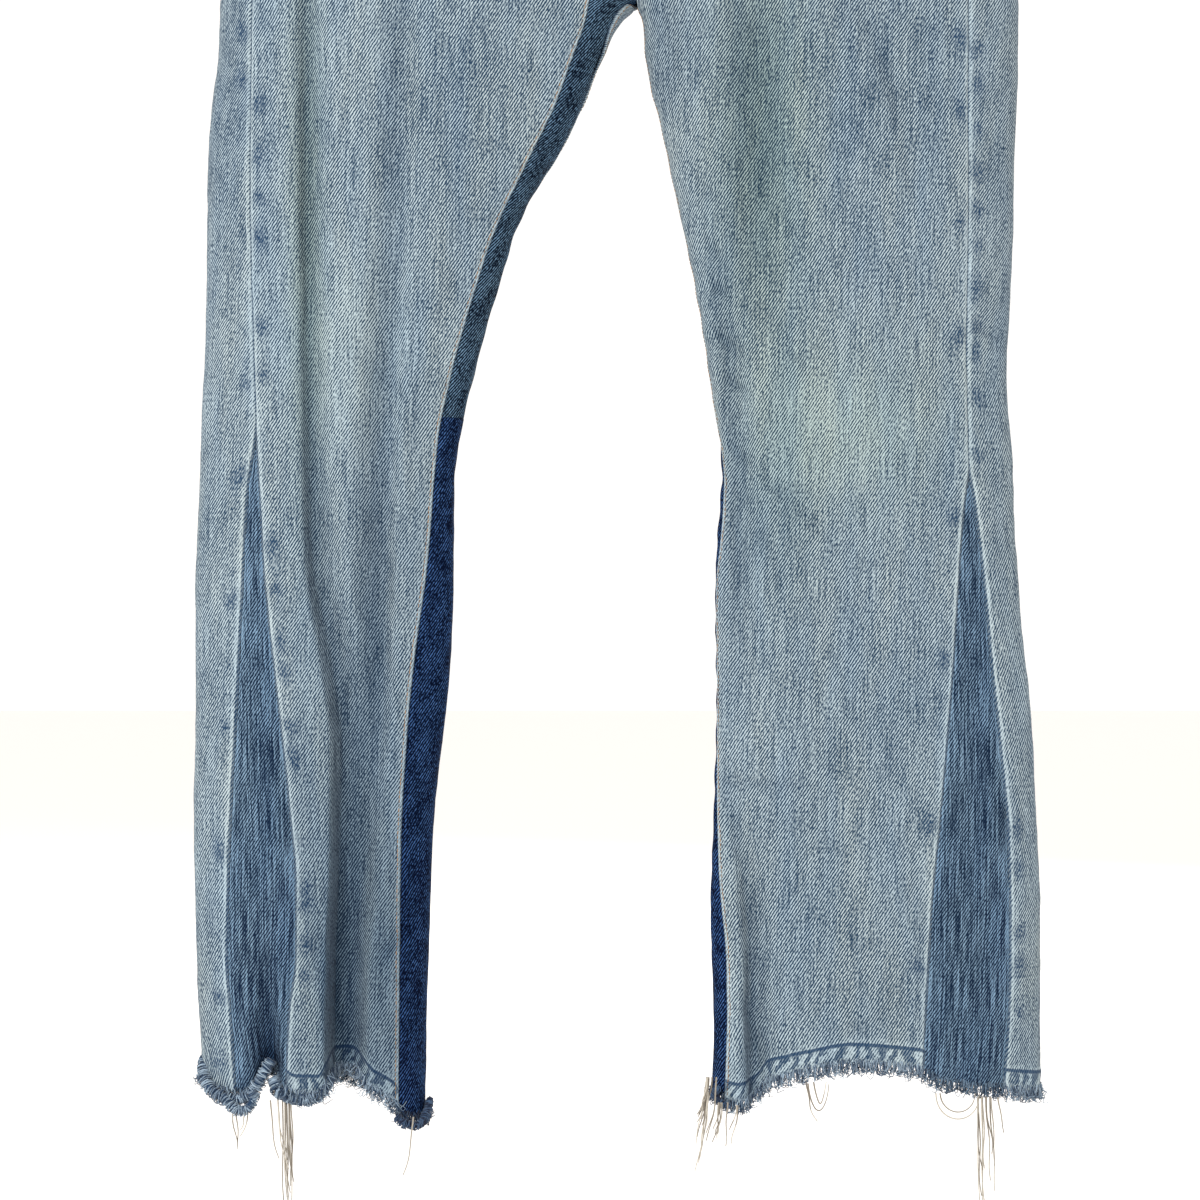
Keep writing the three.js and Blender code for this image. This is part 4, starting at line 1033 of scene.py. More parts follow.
def rolled_yarns(path, radius, count, seed):
    """Yarn ends that curl round a rolled edge: each is a part turn about the edge's path, in millimetres."""
    random = np.random.default_rng(seed)
    path = np.asarray(path, float)
    run = np.concatenate([[0], np.cumsum(np.linalg.norm(np.diff(path, axis=0), axis=1))])
    arcs = []
    for place in np.linspace(0, run[-1], count):
        here, ahead = (np.array([np.interp(place + step, run, path[:, k]) for k in range(3)]) for step in (-1, 1))
        along = (ahead - here) / np.linalg.norm(ahead - here)
        out = np.cross(along, (0, 0, 1) if abs(along[2]) < 0.8 else (1, 0, 0))
        out /= np.linalg.norm(out)
        other = np.cross(along, out)
        turn = random.uniform(0, TWO_PI) + np.linspace(0, random.uniform(2.6, 5.2), 8)
        size = radius * random.uniform(0.7, 1.12) * (1 + 0.12 * math.sin(place / 4.1 + seed))
        drift = np.linspace(-1, 1, 8) * random.uniform(-1.6, 1.6)
        arcs.append((here + ahead) / 2 + np.cos(turn)[:, None] * out * size + np.sin(turn)[:, None] * other * size
                    + drift[:, None] * along)
    return arcs


def strands(name, paths, radius, material, seed=1, smoothness=2, core=None):
    """Loose threads along paths in millimetres, as one plain mesh with a tint for each thread.

    core is the path and radius of a thicker strand that they lie round.
    """
    random = np.random.default_rng(seed)
    curve = bpy.data.curves.new(name + "_path", "CURVE")
    curve.dimensions = "3D"
    curve.bevel_depth = radius
    curve.bevel_resolution = 1
    curve.resolution_u = smoothness
    curve.use_fill_caps = True
    sizes = []
    paths = [*paths, core[0]] if core else paths
    for path in paths:
        spline = curve.splines.new("NURBS")
        spline.points.add(len(path) - 1)
        spline.points.foreach_set("co", np.c_[np.asarray(path) * MM, np.ones(len(path))].ravel())
        spline.points.foreach_set("radius", np.linspace(1, 0.55, len(path)))
        spline.order_u = 4
        spline.use_endpoint_u = True
        sizes.append(random.uniform(-0.3, 0.8))
    if core:
        curve.splines[-1].points.foreach_set("radius", np.full(len(core[0]), core[1] * MM / radius))
        sizes[-1] = -0.3
    made = link_object(name, curve)
    bpy.context.view_layer.update()
    mesh = bpy.data.meshes.new_from_object(made)
    mesh.name = name
    bpy.data.objects.remove(made)
    bpy.data.curves.remove(curve)
    layer = mesh.attributes.new("tint", "FLOAT", "POINT")
    weights = np.array([len(path) for path in paths], float)
    ends = np.cumsum(weights) / weights.sum() * len(mesh.vertices)
    owner = np.searchsorted(ends, np.arange(len(mesh.vertices)), side="right")
    layer.data.foreach_set("value", np.array(sizes)[np.minimum(owner, len(paths) - 1)])
    mesh.materials.clear()
    mesh.materials.append(material)
    return link_object(name, mesh)


# Sizes and colours that a user may change

def length_property(label, about, value, least=0.0):
    return bpy.props.FloatProperty(name=label, description=about, default=value, min=least, subtype="DISTANCE",
                                   unit="LENGTH")


def colour_property(label, about, code):
    return bpy.props.FloatVectorProperty(name=label, description=about, size=3, min=0, max=1, subtype="COLOR",
                                         default=linear(code, alpha=False))


class JeansCloth(bpy.types.PropertyGroup):
    """Thickness of the cut pieces."""
    denim: length_property("Denim", "Thickness of one layer of denim", 1.2 * MM)
    band: length_property("Waistband", "Thickness of the doubled waistband", 2.4 * MM)
    loop: length_property("Belt loops", "Thickness of a folded belt loop", 1.5 * MM)


class JeansDyes(bpy.types.PropertyGroup):
    """Darkest and palest yarns of each cloth and of the sewing thread."""
    light_dark: colour_property("Light denim, warp", "Indigo warp yarn of the washed panels", "#1b3349")
    light_pale: colour_property("Light denim, weft", "Pale weft yarn of the washed panels", "#a4b3ba")
    mid_dark: colour_property("Godets, warp", "Indigo warp yarn of the godets", "#081a30")
    mid_pale: colour_property("Godets, weft", "Pale weft yarn of the godets", "#7590a8")
    worn_dark: colour_property("Upper strips, warp", "Indigo warp yarn of the upper inseam strips", "#020c1c")
    worn_pale: colour_property("Upper strips, weft", "Pale weft yarn of the upper inseam strips", "#64829c")
    indigo_dark: colour_property("Lower strips, warp", "Indigo warp yarn of the lower inseam strips", "#000820")
    indigo_pale: colour_property("Lower strips, weft", "Pale weft yarn of the lower inseam strips", "#3f6092")
    sewing_dark: colour_property("Sewing thread, dark", "Ochre thread where it is shaded", "#8a6a40")
    sewing_pale: colour_property("Sewing thread, pale", "Ochre thread where it is faded", "#c7a877")


class JeansSewing(bpy.types.PropertyGroup):
    """The visible stitching."""
    pitch: length_property("Stitch", "Length of one stitch", 3.2 * MM, 1 * MM)
    thread: length_property("Thread", "Radius of the sewing thread", 0.3 * MM)


class JeansFray(bpy.types.PropertyGroup):
    """The frayed hems."""
    spacing: length_property("Yarn spacing", "Distance between frayed yarn ends along the hem", 0.27 * MM, 0.1 * MM)
    yarn: length_property("Yarn radius", "Radius of a frayed yarn", 0.42 * MM)
    fringe: length_property("Fringe", "Length of the frayed yarn ends", 11.5 * MM)
    loose: length_property("Loose thread", "Radius of a long loose thread", 0.58 * MM)


class JeansStage(bpy.types.PropertyGroup):
    """The room that the jeans hang in."""
    floor: bpy.props.FloatProperty(name="Floor", description="Height of the floor", default=-1.34, subtype="DISTANCE")
    key: bpy.props.FloatProperty(name="Key light", description="Power of the main soft light", default=60.0)
    fill: bpy.props.FloatProperty(name="Fill light", description="Power of the filling light", default=8.0)
    rear: bpy.props.FloatProperty(name="Back light", description="Power of the light behind the jeans", default=35.0)
    sky: bpy.props.FloatProperty(name="Room light", description="Strength of the light from the room", default=1.2)
    wall: colour_property("Walls", "Colour of the pale room", "#f7f4f1")


# The camera of the photograph's view, the point that the lights turn to, and half the floor's side, in metres
CAMERA_PLACE = (-0.020, -1.3, -0.700)
CAMERA_ANGLE = math.radians(37.2)
LIT_POINT = Vector((0, 0, -0.7))
FLOOR_REACH = 9.0


# The made things that operators share

shared = {"grids": {}, "materials": {}, "trees": {}}


def leg(name):
    if name not in shared["grids"]:
        shared["grids"][name] = leg_grids(name)
    return shared["grids"][name]


def cloth_finish(name):
    """A finish of the jeans by its name, made once."""
    dyes = bpy.context.scene.jeans_dyes

    def dyed(kind):
        return [(*getattr(dyes, f"{kind}_{part}"), 1) for part in ("dark", "pale")]

    makers = {
        # Old, much washed: pale weft shows through in salt-and-pepper grain, and seams are rubbed nearly white
        "washed light denim": lambda: denim(name, *dyed("light"), 1.5, 2.1, 1.2, 0.335, 0.6),
        # The inner face, where the undyed weft lies on top: greyer, paler and quieter
        "denim reverse": lambda: denim(name, linear("#55636f"), linear("#aab1b4"), 0.3, 1.2, 0.6, 0.5, 0.0),
        # Slubby and less washed: long upright streaks of mid blue
        "streaky mid denim": lambda: denim(name, *dyed("mid"), 2.9, 1.3, 0.9, 0.17, 0.5, 0.03),
        # Dark and rubbed: slate blue with coarse pale flecks
        "worn dark denim": lambda: denim(name, *dyed("worn"), 0.9, 2.7, 1.5, -0.04, 0.2, 0.0),
        # Hardly washed: deep navy with fine flecks of weft
        "raw indigo denim": lambda: denim(name, *dyed("indigo"), 0.9, 2.9, 1.4, -0.13, 0.15, 0.0),
        # Cut warp and weft ends of each cloth, matt and fuzzy in the tints that they were woven from
        "blue-white frayed yarn": lambda: cotton_yarn(name, linear("#1c3550"), linear("#93a6b6")),
        "mid blue frayed yarn": lambda: cotton_yarn(name, linear("#14283f"), linear("#6a8196")),
        "indigo frayed yarn": lambda: cotton_yarn(name, linear("#061530"), linear("#3f5876")),
        # Long ends of plain cotton weft, and the sewing thread that faded with the cloth
        "undyed weft thread": lambda: cotton_yarn(name, linear("#746d62"), linear("#b2aca0")),
        "faded ochre sewing thread": lambda: cotton_yarn(name, *dyed("sewing")),
        "brown sewing thread": lambda: cotton_yarn(name, linear("#4a3626"), linear("#8d6f52")),
        # The button: dull yellow metal with brighter rubbed spots
        "worn brass": lambda: worn_brass(name),
    }
    if name not in shared["materials"]:
        shared["materials"][name] = makers[name]()
    return shared["materials"][name]


def shared_tree(name, maker):
    if name not in shared["trees"]:
        shared["trees"][name] = maker()
    return shared["trees"][name]


def sew(name, lines, thread, slot="light_denim"):
    sewing = bpy.context.scene.jeans_sewing
    piece = grow_on(name, shared_tree("stitches", stitch_tree), lines, Pitch=sewing.pitch, Thread=sewing.thread,
                    Material=cloth_finish(thread))
    return finish_piece(piece, slot)


def waist_grid():
    """The waistband, one ring whose first end lies over its last."""
    side = SIDES["left"]
    levels = np.linspace(0, -BAND_HEIGHT, 17)

    def ring(owner, z):
        start = angle_at_x(owner, z, BAND_END_X)
        return start, start + TWO_PI

    grid = panel(side, ring, levels, lambda total, level: np.linspace(0, total + 14, 330))
    grid = dress(grid, "none", "none", 71, banded=False)
    depth, total = -grid["z"], grid["left"] + grid["right"]
    edge = np.minimum(depth, BAND_HEIGHT - depth)
    over = 1.3 * (1 - smooth(grid["left"], 24, 44)) - 1.6 * smooth(grid["left"], total - 16, total - 3)
    waves = 0.22 * np.sin(grid["left"] * TWO_PI / 13 + depth * 0.24) * (1 - smooth(edge, 3, 9))
    grid.update(relief=0.9 + over + waves + 0.35 * ripple(grid["left"], depth, 5,
                                                          70) - 0.5 * (1 - smooth(edge, 0, 1.3)),
                seam=edge + 0.9, u=grid["left"], pale=grid["pale"] + 0.22 * (1 - smooth(edge, 0, 5)))
    grid["normals"][..., 2] = 0
    grid["normals"] /= np.linalg.norm(grid["normals"], axis=2, keepdims=True)
    return grid


def yoke_grid(name):
    side = SIDES[name]
    levels = np.linspace(PANEL_TOP_Z + 2, -112, 26)

    def place(z, share):
        part = (levels[0] - z) / (levels[0] - levels[-1])
        return levels[0] + (yoke_line(share) - levels[0]) * part

    grid = panel(side, back_edges, levels, across(50, (1.2, 5)), place)
    grid = dress(grid, "lap", "lap", 5 if name == "left" else 13, banded=False)
    grid["relief"] = grid["relief"] + lap_ridge(grid["up"], 1.4)
    grid["seam"] = np.minimum(grid["seam"], grid["up"])
    return grid


def facing_grid(name):
    side = SIDES[name]
    levels = np.linspace(PANEL_TOP_Z + 1, PANEL_TOP_Z - FACING_DROP, 24)

    def mouth(owner, z):
        end = outseam(owner, z, "inner")
        seam_x = cloth_point(owner, z, end)[..., 0]
        return angle_at_x(owner, z, seam_x - owner["out"] * FACING_WIDTH), end

    grid = panel(side, mouth, levels, lambda total, level: np.linspace(0, total + 1, 34))
    return dress(grid, "none", "none", 3 if name == "left" else 11, banded=False, lift=-2.1)


BACK_POCKET = table("z left right", [(-117, 0.408, 0.825), (-160, 0.417, 0.817), (-205, 0.431, 0.803),
                                     (-228, 0.435, 0.8)])


def pocket_grid(name):
    side = SIDES[name]
    levels = np.linspace(-117, -213, 34)

    def spacing(total, level):
        first, last = (float(read(BACK_POCKET, edge, level)) * total for edge in ("left", "right"))
        size = last - first
        return first + np.concatenate([[0, 0.7, 1.6, 3], np.linspace(5, size - 5, 30),
                                       [size - 3, size - 1.6, size - 0.7, size]])

    def place(z, share):
        middle = (read(BACK_POCKET, "left", z) + read(BACK_POCKET, "right", z)) / 2
        point = 1 - np.clip(np.abs(share - middle) / 0.2, 0, 1)
        return z - 15 * point * (levels[0] - z) / (levels[0] - levels[-1])

    grid = panel(side, back_edges, levels, spacing, place)
    across_it = grid["left"] - grid["left"][:, :1]
    grid["left"], grid["right"] = across_it, across_it[:, -1:] - across_it
    grid = dress(grid, "none", "none", 5 if name == "left" else 13, banded=False)
    edge = np.minimum(np.minimum(grid["left"], grid["right"]), np.minimum(grid["up"], grid["down"] + 0.6))
    grid["relief"] = grid["relief"] + 1.7 + 0.5 * smooth(edge, 0, 1.5) * (1 - smooth(edge, 9, 13))
    grid["seam"] = edge + 0.8
    grid["pale"] = grid["pale"] + 0.1
    return grid


BELT_LOOPS = table("out x back", [(-1, -100, 0), (1, 100, 0), (1, 122, 1), (1, 0, 1), (-1, -122, 1)])
LOOP_PROFILE = table("z off", [(-0.5, 2.4), (-3, 2.7), (-9, 3.6), (-19, 4.4), (-30, 3.7), (-38, 2.6), (-46, 2.3),
                               (-50, 2.2)])
LOOP_WIDTH = 11


def loop_grid(number):
    """One belt loop, from over the waistband's edge to the cloth below it."""
    out, x, back = (BELT_LOOPS[key][number] for key in ("out", "x", "back"))
    side = SIDES["left" if out > 0 else "right"]
    levels = np.linspace(-0.5, -50, 22)
    angle = angle_at_x(side, levels, x)
    angle = math.pi - angle if back else angle
    middle = cloth_point(side, levels, angle)
    turn = cloth_point(side, levels, angle + 0.01) - cloth_point(side, levels, angle - 0.01)
    turn /= np.linalg.norm(turn, axis=1, keepdims=True)
    normal = np.cross(turn, (0, 0, 1)) * side["out"]
    shares = np.array([-0.5, -0.46, -0.38, -0.2, 0, 0.2, 0.38, 0.46, 0.5])
    rounded = -0.7 * smooth(np.abs(shares), 0.38, 0.5)
    off = read(LOOP_PROFILE, "off", levels)
    points = (middle[:, None] + normal[:, None] * (off[:, None] + rounded)[..., None]
              + turn[:, None] * (shares * LOOP_WIDTH)[None, :, None])
    points[..., 2] = levels[:, None]
    across_it = (shares + 0.5) * LOOP_WIDTH
    flat = np.zeros(points.shape[:2])
    edge = np.minimum(across_it, LOOP_WIDTH - across_it) + flat
    grid = {"side": side, "points": points, "left": across_it + flat, "right": LOOP_WIDTH - across_it + flat,
            "z": levels[:, None] + flat, "down": levels[0] - levels[:, None] + flat,
            "up": levels[:, None] - levels[-1] + flat, "flip": side["out"] < 0, "relief": flat, "seam": edge + 0.9,
            "spot": flat, "shade": flat,
            "pale": flat + 0.1 * ripple(levels[:, None] + flat, across_it + flat, number, 30),
            "green": flat, "hem": flat + 80, "u": across_it * side["out"] + flat, "v": levels[:, None] + flat}
    grid["normals"] = normals_of(grid)
    return grid


# Rolled edges and loose threads, in millimetres

# Edges that have rolled up into ropes of loose yarn: the slot's yarn, the radius, how many yarns, and the path
ROLLS = (
    ("hem_roll_back_right", "blue-white frayed yarn", 4.6, 330, [
        (-296, 20, -1043), (-306, 8, -1036), (-308, -6, -1034), (-305, -16, -1044), (-299, -23, -1051),
        (-290, -28, -1055),
        (-278, -30, -1057), (-268, -30, -1052), (-263, -29, -1043), (-259, -26, -1035), (-255, -24, -1029)]),
    ("hem_knot_right", "blue-white frayed yarn", 3.6, 130, [
        (-288, -31, -1053), (-283, -35, -1058), (-277, -37, -1062), (-270, -36, -1062), (-265, -32, -1055),
        (-268, -34, -1049)]),
    ("hem_roll_front_right", "blue-white frayed yarn", 4.4, 240, [
        (-254, -24, -1042), (-250, -28, -1050), (-240, -31, -1055), (-227, -31, -1056), (-218, -28, -1051),
        (-213, -22, -1042)]),
    ("hem_roll_strip_right", "indigo frayed yarn", 3.1, 130, [
        (-166, -26, -1069), (-160, -27, -1074), (-152, -24, -1077), (-147, -18, -1075), (-144.5, -9, -1070),
        (-144, -2, -1063)]),
    ("hem_roll_strip_left", "indigo frayed yarn", 2.6, 60, [
        (64, -16, -1052), (62, -10, -1058), (66, -20, -1061), (72, -24, -1063)]),
)
# Long threads and bundles at the hems: where they start, how far they fall and sway, and how many hang together
LOOSE_THREADS = table("x z fall sway count wide", [
    (-243, -1059, 94, 3, 10, 3.2), (-282, -1064, 26, 4, 2, 2), (-272, -1066, 15, -5, 2, 2),
    (-252, -1062, 42, 7, 3, 3),
    (-153, -1074, 34, -7, 1, 0.5), (60, -1046, 38, -6, 10, 4), (57, -1056, 50, -8, 4, 3), (68, -1064, 24, -3, 6, 4),
    (78, -1066, 20, -4, 2, 1),
    (127, -1048, 22, 7, 1, 1), (250, -1060, 88, 2, 6, 2.6), (256, -1060, 60, 4, 4, 2.6), (263, -1060, 18, 5, 1, 1),
])
# Loops of thread that hang from the hem between two places
HANGING_LOOPS = table("x1 x2 z fall", [(128, 143, -1048, 15), (132, 141, -1047, 11), (219, 250, -1055, 14),
                                       (222, 247, -1055, 9)])


# Operators

class JEANS_OT_legs(bpy.types.Operator):
    """Cut and hang the fronts, backs, godets and inseam strips."""
    bl_idname = "jeans.make_legs"
    bl_label = "Legs"

    def execute(self, context):
        thickness = context.scene.jeans_cloth.denim
        reverse = cloth_finish("denim reverse")
        cloths = (
            ("front", "front_{}", "washed light denim", "light_denim"),
            ("back", "back_{}", "washed light denim", "light_denim"),
            ("godet", "godet_{}", "streaky mid denim", "mid_denim"),
            ("strip_upper", "inseam_strip_{}_upper", "worn dark denim", "worn_dark_denim"),
            ("strip_lower", "inseam_strip_{}_lower", "raw indigo denim", "dark_denim"),
        )
        for name in SIDES:
            for key, pattern, finish, slot in cloths:
                grid = leg(name)[key]
                cad_node = pattern.format(name)
                piece = grid_mesh(cad_node + "_cloth", grid, thickness, (cloth_finish(finish), reverse))
                finish_piece(piece, slot, cad_node)
                declare_sheet(grid)
        return {"FINISHED"}


class JEANS_OT_top_block(bpy.types.Operator):
    """Make the waistband, yokes, pocket facings, back pockets and belt loops."""
    bl_idname = "jeans.make_top_block"
    bl_label = "Waist and pockets"

    def execute(self, context):
        sizes = context.scene.jeans_cloth
        light, reverse = cloth_finish("washed light denim"), cloth_finish("denim reverse")
        shared["grids"]["waist"] = waist_grid()
        pieces = [("waistband", shared["grids"]["waist"], sizes.band)]
        for name in SIDES:
            for part, maker in (("yoke", yoke_grid), ("pocket_facing", facing_grid), ("back_pocket", pocket_grid)):
                grid = shared["grids"][f"{part}_{name}"] = maker(name)
                pieces.append((f"{part}_{name}", grid, sizes.denim))
        for cad_node, grid, thickness in pieces:
            piece = grid_mesh(cad_node + "_cloth", grid, thickness, (light, reverse))
            finish_piece(piece, "light_denim", cad_node)
            declare_sheet(grid)
        for number in range(len(BELT_LOOPS["x"])):
            shared["grids"][f"loop_{number + 1}"] = grid = loop_grid(number)
            piece = grid_mesh(f"belt_loop_{number + 1}_cloth", grid, sizes.loop, (light,))
            finish_piece(piece, "light_denim", f"belt_loop_{number + 1}")
            declare_sheet(grid)
        return {"FINISHED"}


class JEANS_OT_stitching(bpy.types.Operator):
    """Sew the inseams, fly, waistband, yokes, pockets and belt loops."""
    bl_idname = "jeans.make_stitching"
    bl_label = "Stitching"

    def execute(self, context):
        grids = shared["grids"]
        waist = grids["waist"]
        ring = slice(0, int(waist["points"].shape[1] * 0.97))
        sew("waistband_stitching", [line_across(waist, 2.2, "down", ring), line_across(waist, 2.2, "up", ring)],
            "faded ochre sewing thread")
        for name in SIDES:
            front, back = leg(name)["front"], leg(name)["back"]
            yoke, pocket = grids["yoke_" + name], grids["back_pocket_" + name]
            below = np.flatnonzero(LEVELS < (SIDES[name]["strip_tip"] if name == "right" else CROTCH_Z))
            rows = slice(below[0], len(LEVELS) - 3)
            sew(f"inseam_{name}_stitching", [line_down(front, 2.6, "left", rows, 0.1),
                                             line_down(back, 2.6, "right", rows, 0.1)],
                "brown sewing thread")
            flat = slice(2, -2)
            mouth = slice(2, -3)
            top = [line_across(front, d, "down", mouth)[-30:] for d in (2.5, 8.5)]
            yoke_lines = [line_across(yoke, d, "up", flat) for d in (1.8, 8.0)]
            high = slice(6, int(np.flatnonzero(LEVELS < -232)[0]))
            centre = [line_down(back, d, "right", high) for d in (1.8, 8.0)] if name == "left" else []
            patch = []
            for d in (1.6, 7.6):
                inside = slice(1, -1)
                patch += [line_down(pocket, d, "left", inside), line_down(pocket, d, "right", inside)]
                patch.append(line_across(pocket, d, "up", slice(2, -2)))
            patch += [line_across(pocket, d, "down", slice(1, -1)) for d in (2.0, 12.0)]
            sew(f"top_{name}_stitching", top + yoke_lines + centre + patch, "faded ochre sewing thread")
        fly = leg("left")["front"]
        rows = slice(1, int(np.flatnonzero(LEVELS < -192)[0]))
        z = fly["z"][rows, 10]
        curve = 27 * np.sqrt(np.clip(1 - np.clip((-z - 140) / 50, 0, 1) ** 2.6, 0, 1))
        sew("fly_stitching", [line_down(fly, curve + d, "left", rows) for d in (0, 6)]
            + [line_down(fly, -12 + 12 * smooth(-z, 180, 205), "left", rows)], "faded ochre sewing thread")
        loops = []
        for number in range(len(BELT_LOOPS["x"])):
            grid = grids[f"loop_{number + 1}"]
            loops += [line_down(grid, d, "left", lift=0.2) for d in (1.9, LOOP_WIDTH - 1.9)]
            loops += [line_across(grid, d, edge, lift=0.3) for edge in ("up", "down") for d in (1.6, 2.3, 3.0)]
        sew("belt_loop_stitching", loops, "faded ochre sewing thread")
        return {"FINISHED"}


class JEANS_OT_fringe(bpy.types.Operator):
    """Fray the hems and hang their loose threads."""
    bl_idname = "jeans.make_fringe"
    bl_label = "Frayed hems"

    def execute(self, context):
        fray = context.scene.jeans_fray
        growth = shared_tree("fray", fray_tree)
        cloths = (("front", "blue-white frayed yarn", slice(2, -2)), ("back", "blue-white frayed yarn", slice(2, -2)),
                  ("godet", "mid blue frayed yarn", slice(2, -2)),
                  ("strip_lower", "indigo frayed yarn", slice(2, -2)))
        for number, name in enumerate(SIDES):
            for key, yarn, columns in cloths:
                edges = [line_across(leg(name)[key], up, "up", columns, lift) for up,
                         lift in ((0.8, -0.7), (1.9, 0.1))]
                long = np.linalg.norm(np.diff(edges[0], axis=0), axis=1).sum() * MM
                piece = grow_on(f"fray_{name}_{key}", growth, edges, Count=int(long / fray.spacing / len(edges)),
                                Length=fray.fringe, Yarn=fray.yarn, Seed=7 + number, Spread=0.6 - 0.3 * number,
                                Material=cloth_finish(yarn))
                finish_piece(piece, "frayed_yarn", *(["fringe_" + name] if key == "front" else []))
        for number, (name, yarn, radius, count, path) in enumerate(ROLLS):
            arcs = rolled_yarns(path, radius, count, 60 + number)
            finish_piece(strands(name, arcs, fray.yarn * 1.05, cloth_finish(yarn), number,
                                 core=(path, radius * 0.78)),
                         "frayed_yarn")
        random = np.random.default_rng(12)
        paths = {"right": [], "left": []}
        for x, z, fall, sway, count, wide in zip(*(LOOSE_THREADS[key] for key in "x z fall sway count wide".split())):
            for strand in range(int(count)):
                share = np.linspace(0, 1, 12)
                long = fall * (1 if strand == 0 else random.uniform(0.5, 0.98))
                start = x + wide * random.uniform(-1, 1)
                bend = sway * share**1.5 + 1.6 * np.sin(share * random.uniform(4, 8) + random.uniform(0, 6)) * share
                depth = -30 - 2.5 * share + 1.4 * np.sin(share * 5 + strand) * share + random.uniform(-1.5, 1.5)
                paths["right" if x < 0 else "left"].append(np.stack([start + bend, depth,
                                                                     z + 6 - (long + 6) * share], axis=1))
        for x1, x2, z, fall in zip(*(HANGING_LOOPS[key] for key in "x1 x2 z fall".split())):
            turn = np.linspace(0, math.pi, 16)
            swing = 0.5 * (x2 - x1) * (1 + 0.25 * np.sin(turn))
            paths["left"].append(np.stack([0.5 * (x1 + x2) - swing * np.cos(turn) + 1.5 * np.sin(2 * turn),
                                           -31 - 2 * np.sin(turn), z + 4 - (fall + 4) * np.sin(turn)], axis=1))
        for name, lines in paths.items():
            piece = strands(f"loose_threads_{name}", lines, fray.loose, cloth_finish("undyed weft thread"), 5)
            finish_piece(piece, "frayed_yarn")
        return {"FINISHED"}


class JEANS_OT_button(bpy.types.Operator):
    """Turn the waist button."""
    bl_idname = "jeans.make_button"
    bl_label = "Button"

    def execute(self, context):
        low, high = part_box("waist_button")
        centre = (low + high) / 2
        radius = (high.x - low.x) / 2
        front = low.y - 1.2 * MM
        profile = [(0, 0.55), (0.34, 0.55), (0.38, 0.7), (0.44, 0.72), (0.48, 0.55), (0.66, 0.5), (0.72, 0.62),
                   (0.78, 0.1), (0.86, 0), (0.93, 0.2), (0.99, 0.9), (1.0, 1.5), (0.93, 2.2), (0.6, 2.6),
                   (0.6, 4.6), (0, 4.6)]
        sides = 64
        points = [(centre.x + r * radius * math.cos(a), front + d * MM, centre.z + r * radius * math.sin(a))
                  for r, d in profile for a in np.linspace(0, TWO_PI, sides, endpoint=False)]
        faces = [(k * sides + s, k * sides + (s + 1) % sides, (k + 1) * sides + (s + 1) % sides, (k + 1) * sides + s)
                 for k in range(len(profile) - 1) for s in range(sides)]
        mesh = bpy.data.meshes.new("waist_button_brass")
        mesh.from_pydata(points, [], faces)
        shape = bmesh.new()
        shape.from_mesh(mesh)
        bmesh.ops.remove_doubles(shape, verts=shape.verts, dist=1e-6)
        bmesh.ops.recalc_face_normals(shape, faces=shape.faces)
        shape.to_mesh(mesh)
        shape.free()
        mesh.shade_smooth()
        mesh.materials.append(cloth_finish("worn brass"))
        finish_piece(link_object("waist_button_brass", mesh), "button_metal", "waist_button")
        return {"FINISHED"}


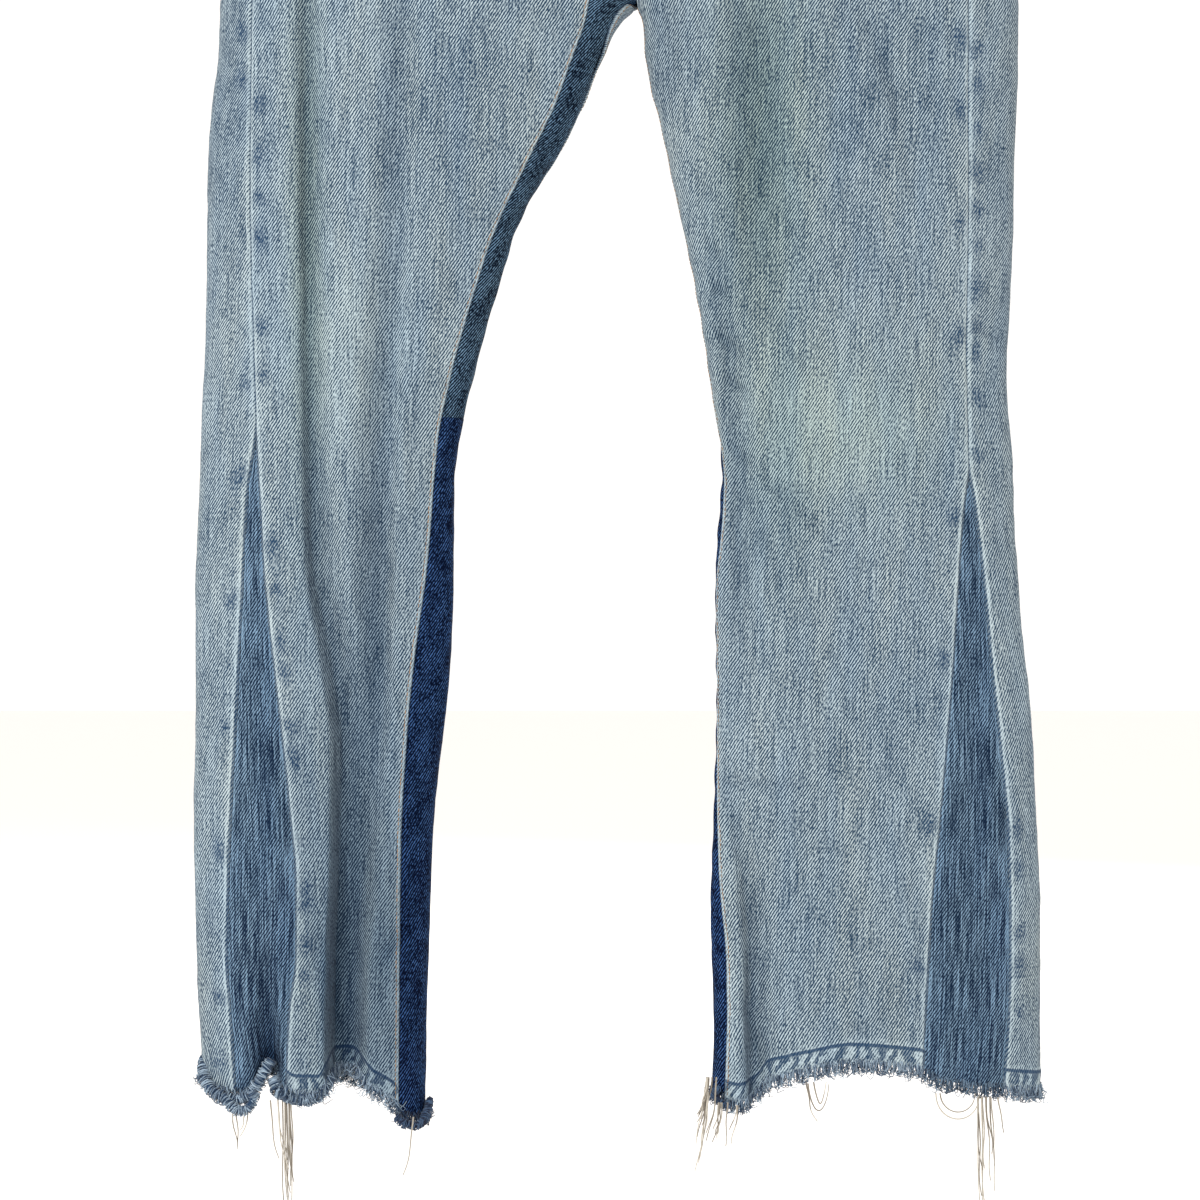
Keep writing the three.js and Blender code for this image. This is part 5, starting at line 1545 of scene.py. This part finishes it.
class JEANS_OT_stage(bpy.types.Operator):
    """Set the floor, the lights and the camera."""
    bl_idname = "jeans.set_stage"
    bl_label = "Stage"

    def execute(self, context):
        scene, stage = context.scene, context.scene.jeans_stage
        scene.view_settings.view_transform = "Standard"
        mesh = bpy.data.meshes.new("floor")
        reach = FLOOR_REACH
        mesh.from_pydata([(-reach, -reach, stage.floor), (reach, -reach, stage.floor), (reach, reach, stage.floor),
                          (-reach, reach, stage.floor)], [], [(0, 1, 2, 3)])
        floor = link_object("floor", mesh)
        paint = bpy.data.materials.new("matt white paint")
        paint.use_nodes = True
        shader = paint.node_tree.nodes["Principled BSDF"]
        shader.inputs["Base Color"].default_value = (*stage.wall, 1)
        shader.inputs["Roughness"].default_value = 0.95
        mesh.materials.append(paint)
        world = bpy.data.worlds.new("pale room")
        world.use_nodes = True
        sky = world.node_tree.nodes["Background"]
        sky.inputs["Color"].default_value = (*stage.wall, 1)
        sky.inputs["Strength"].default_value = stage.sky
        scene.world = world
        lights = (("key", (-1.5, -2.3, 0.5), 1.2, stage.key), ("fill", (1.6, -2.6, -0.4), 1.8, stage.fill),
                  ("back light", (0.8, 2.6, 0.3), 1.6, stage.rear))
        for label, place, size, strength in lights:
            light = bpy.data.lights.new(label, "AREA")
            light.shape, light.size, light.energy = "SQUARE", size, strength
            lamp = link_object(label, light)
            lamp.location = place
            lamp.rotation_euler = (LIT_POINT - Vector(place)).to_track_quat("-Z", "Y").to_euler()
        camera = bpy.data.cameras.new("photo view")
        camera.sensor_fit = "HORIZONTAL"
        camera.angle = CAMERA_ANGLE
        camera.dof.use_dof = False
        view = link_object("photo view", camera)
        view.location = CAMERA_PLACE
        view.rotation_euler = (math.pi / 2, 0, 0)
        scene.camera = view
        return {"FINISHED"}


class JEANS_PT_panel(bpy.types.Panel):
    """Makers of the jeans, in their order."""
    bl_label = "Flared Jeans"
    bl_space_type = "VIEW_3D"
    bl_region_type = "UI"
    bl_category = "Jeans"

    def draw(self, context):
        for group in GROUPS:
            box = self.layout.box()
            for name in getattr(context.scene, group).__annotations__:
                box.prop(getattr(context.scene, group), name)
        for maker in MAKERS:
            self.layout.operator(maker.bl_idname)


GROUPS = {"jeans_cloth": JeansCloth, "jeans_dyes": JeansDyes, "jeans_sewing": JeansSewing, "jeans_fray": JeansFray,
          "jeans_stage": JeansStage}
MAKERS = (JEANS_OT_stage, JEANS_OT_legs, JEANS_OT_top_block, JEANS_OT_stitching, JEANS_OT_fringe, JEANS_OT_button)


def register():
    for cls in (*GROUPS.values(), *MAKERS, JEANS_PT_panel):
        bpy.utils.register_class(cls)
    for name, group in GROUPS.items():
        setattr(bpy.types.Scene, name, bpy.props.PointerProperty(type=group))


def unregister():
    for name in GROUPS:
        delattr(bpy.types.Scene, name)
    for cls in reversed((*GROUPS.values(), *MAKERS, JEANS_PT_panel)):
        bpy.utils.unregister_class(cls)


def main():
    register()
    for maker in MAKERS:
        group, name = maker.bl_idname.split(".")
        getattr(getattr(bpy.ops, group), name)()


if __name__ == "__main__":
    main()
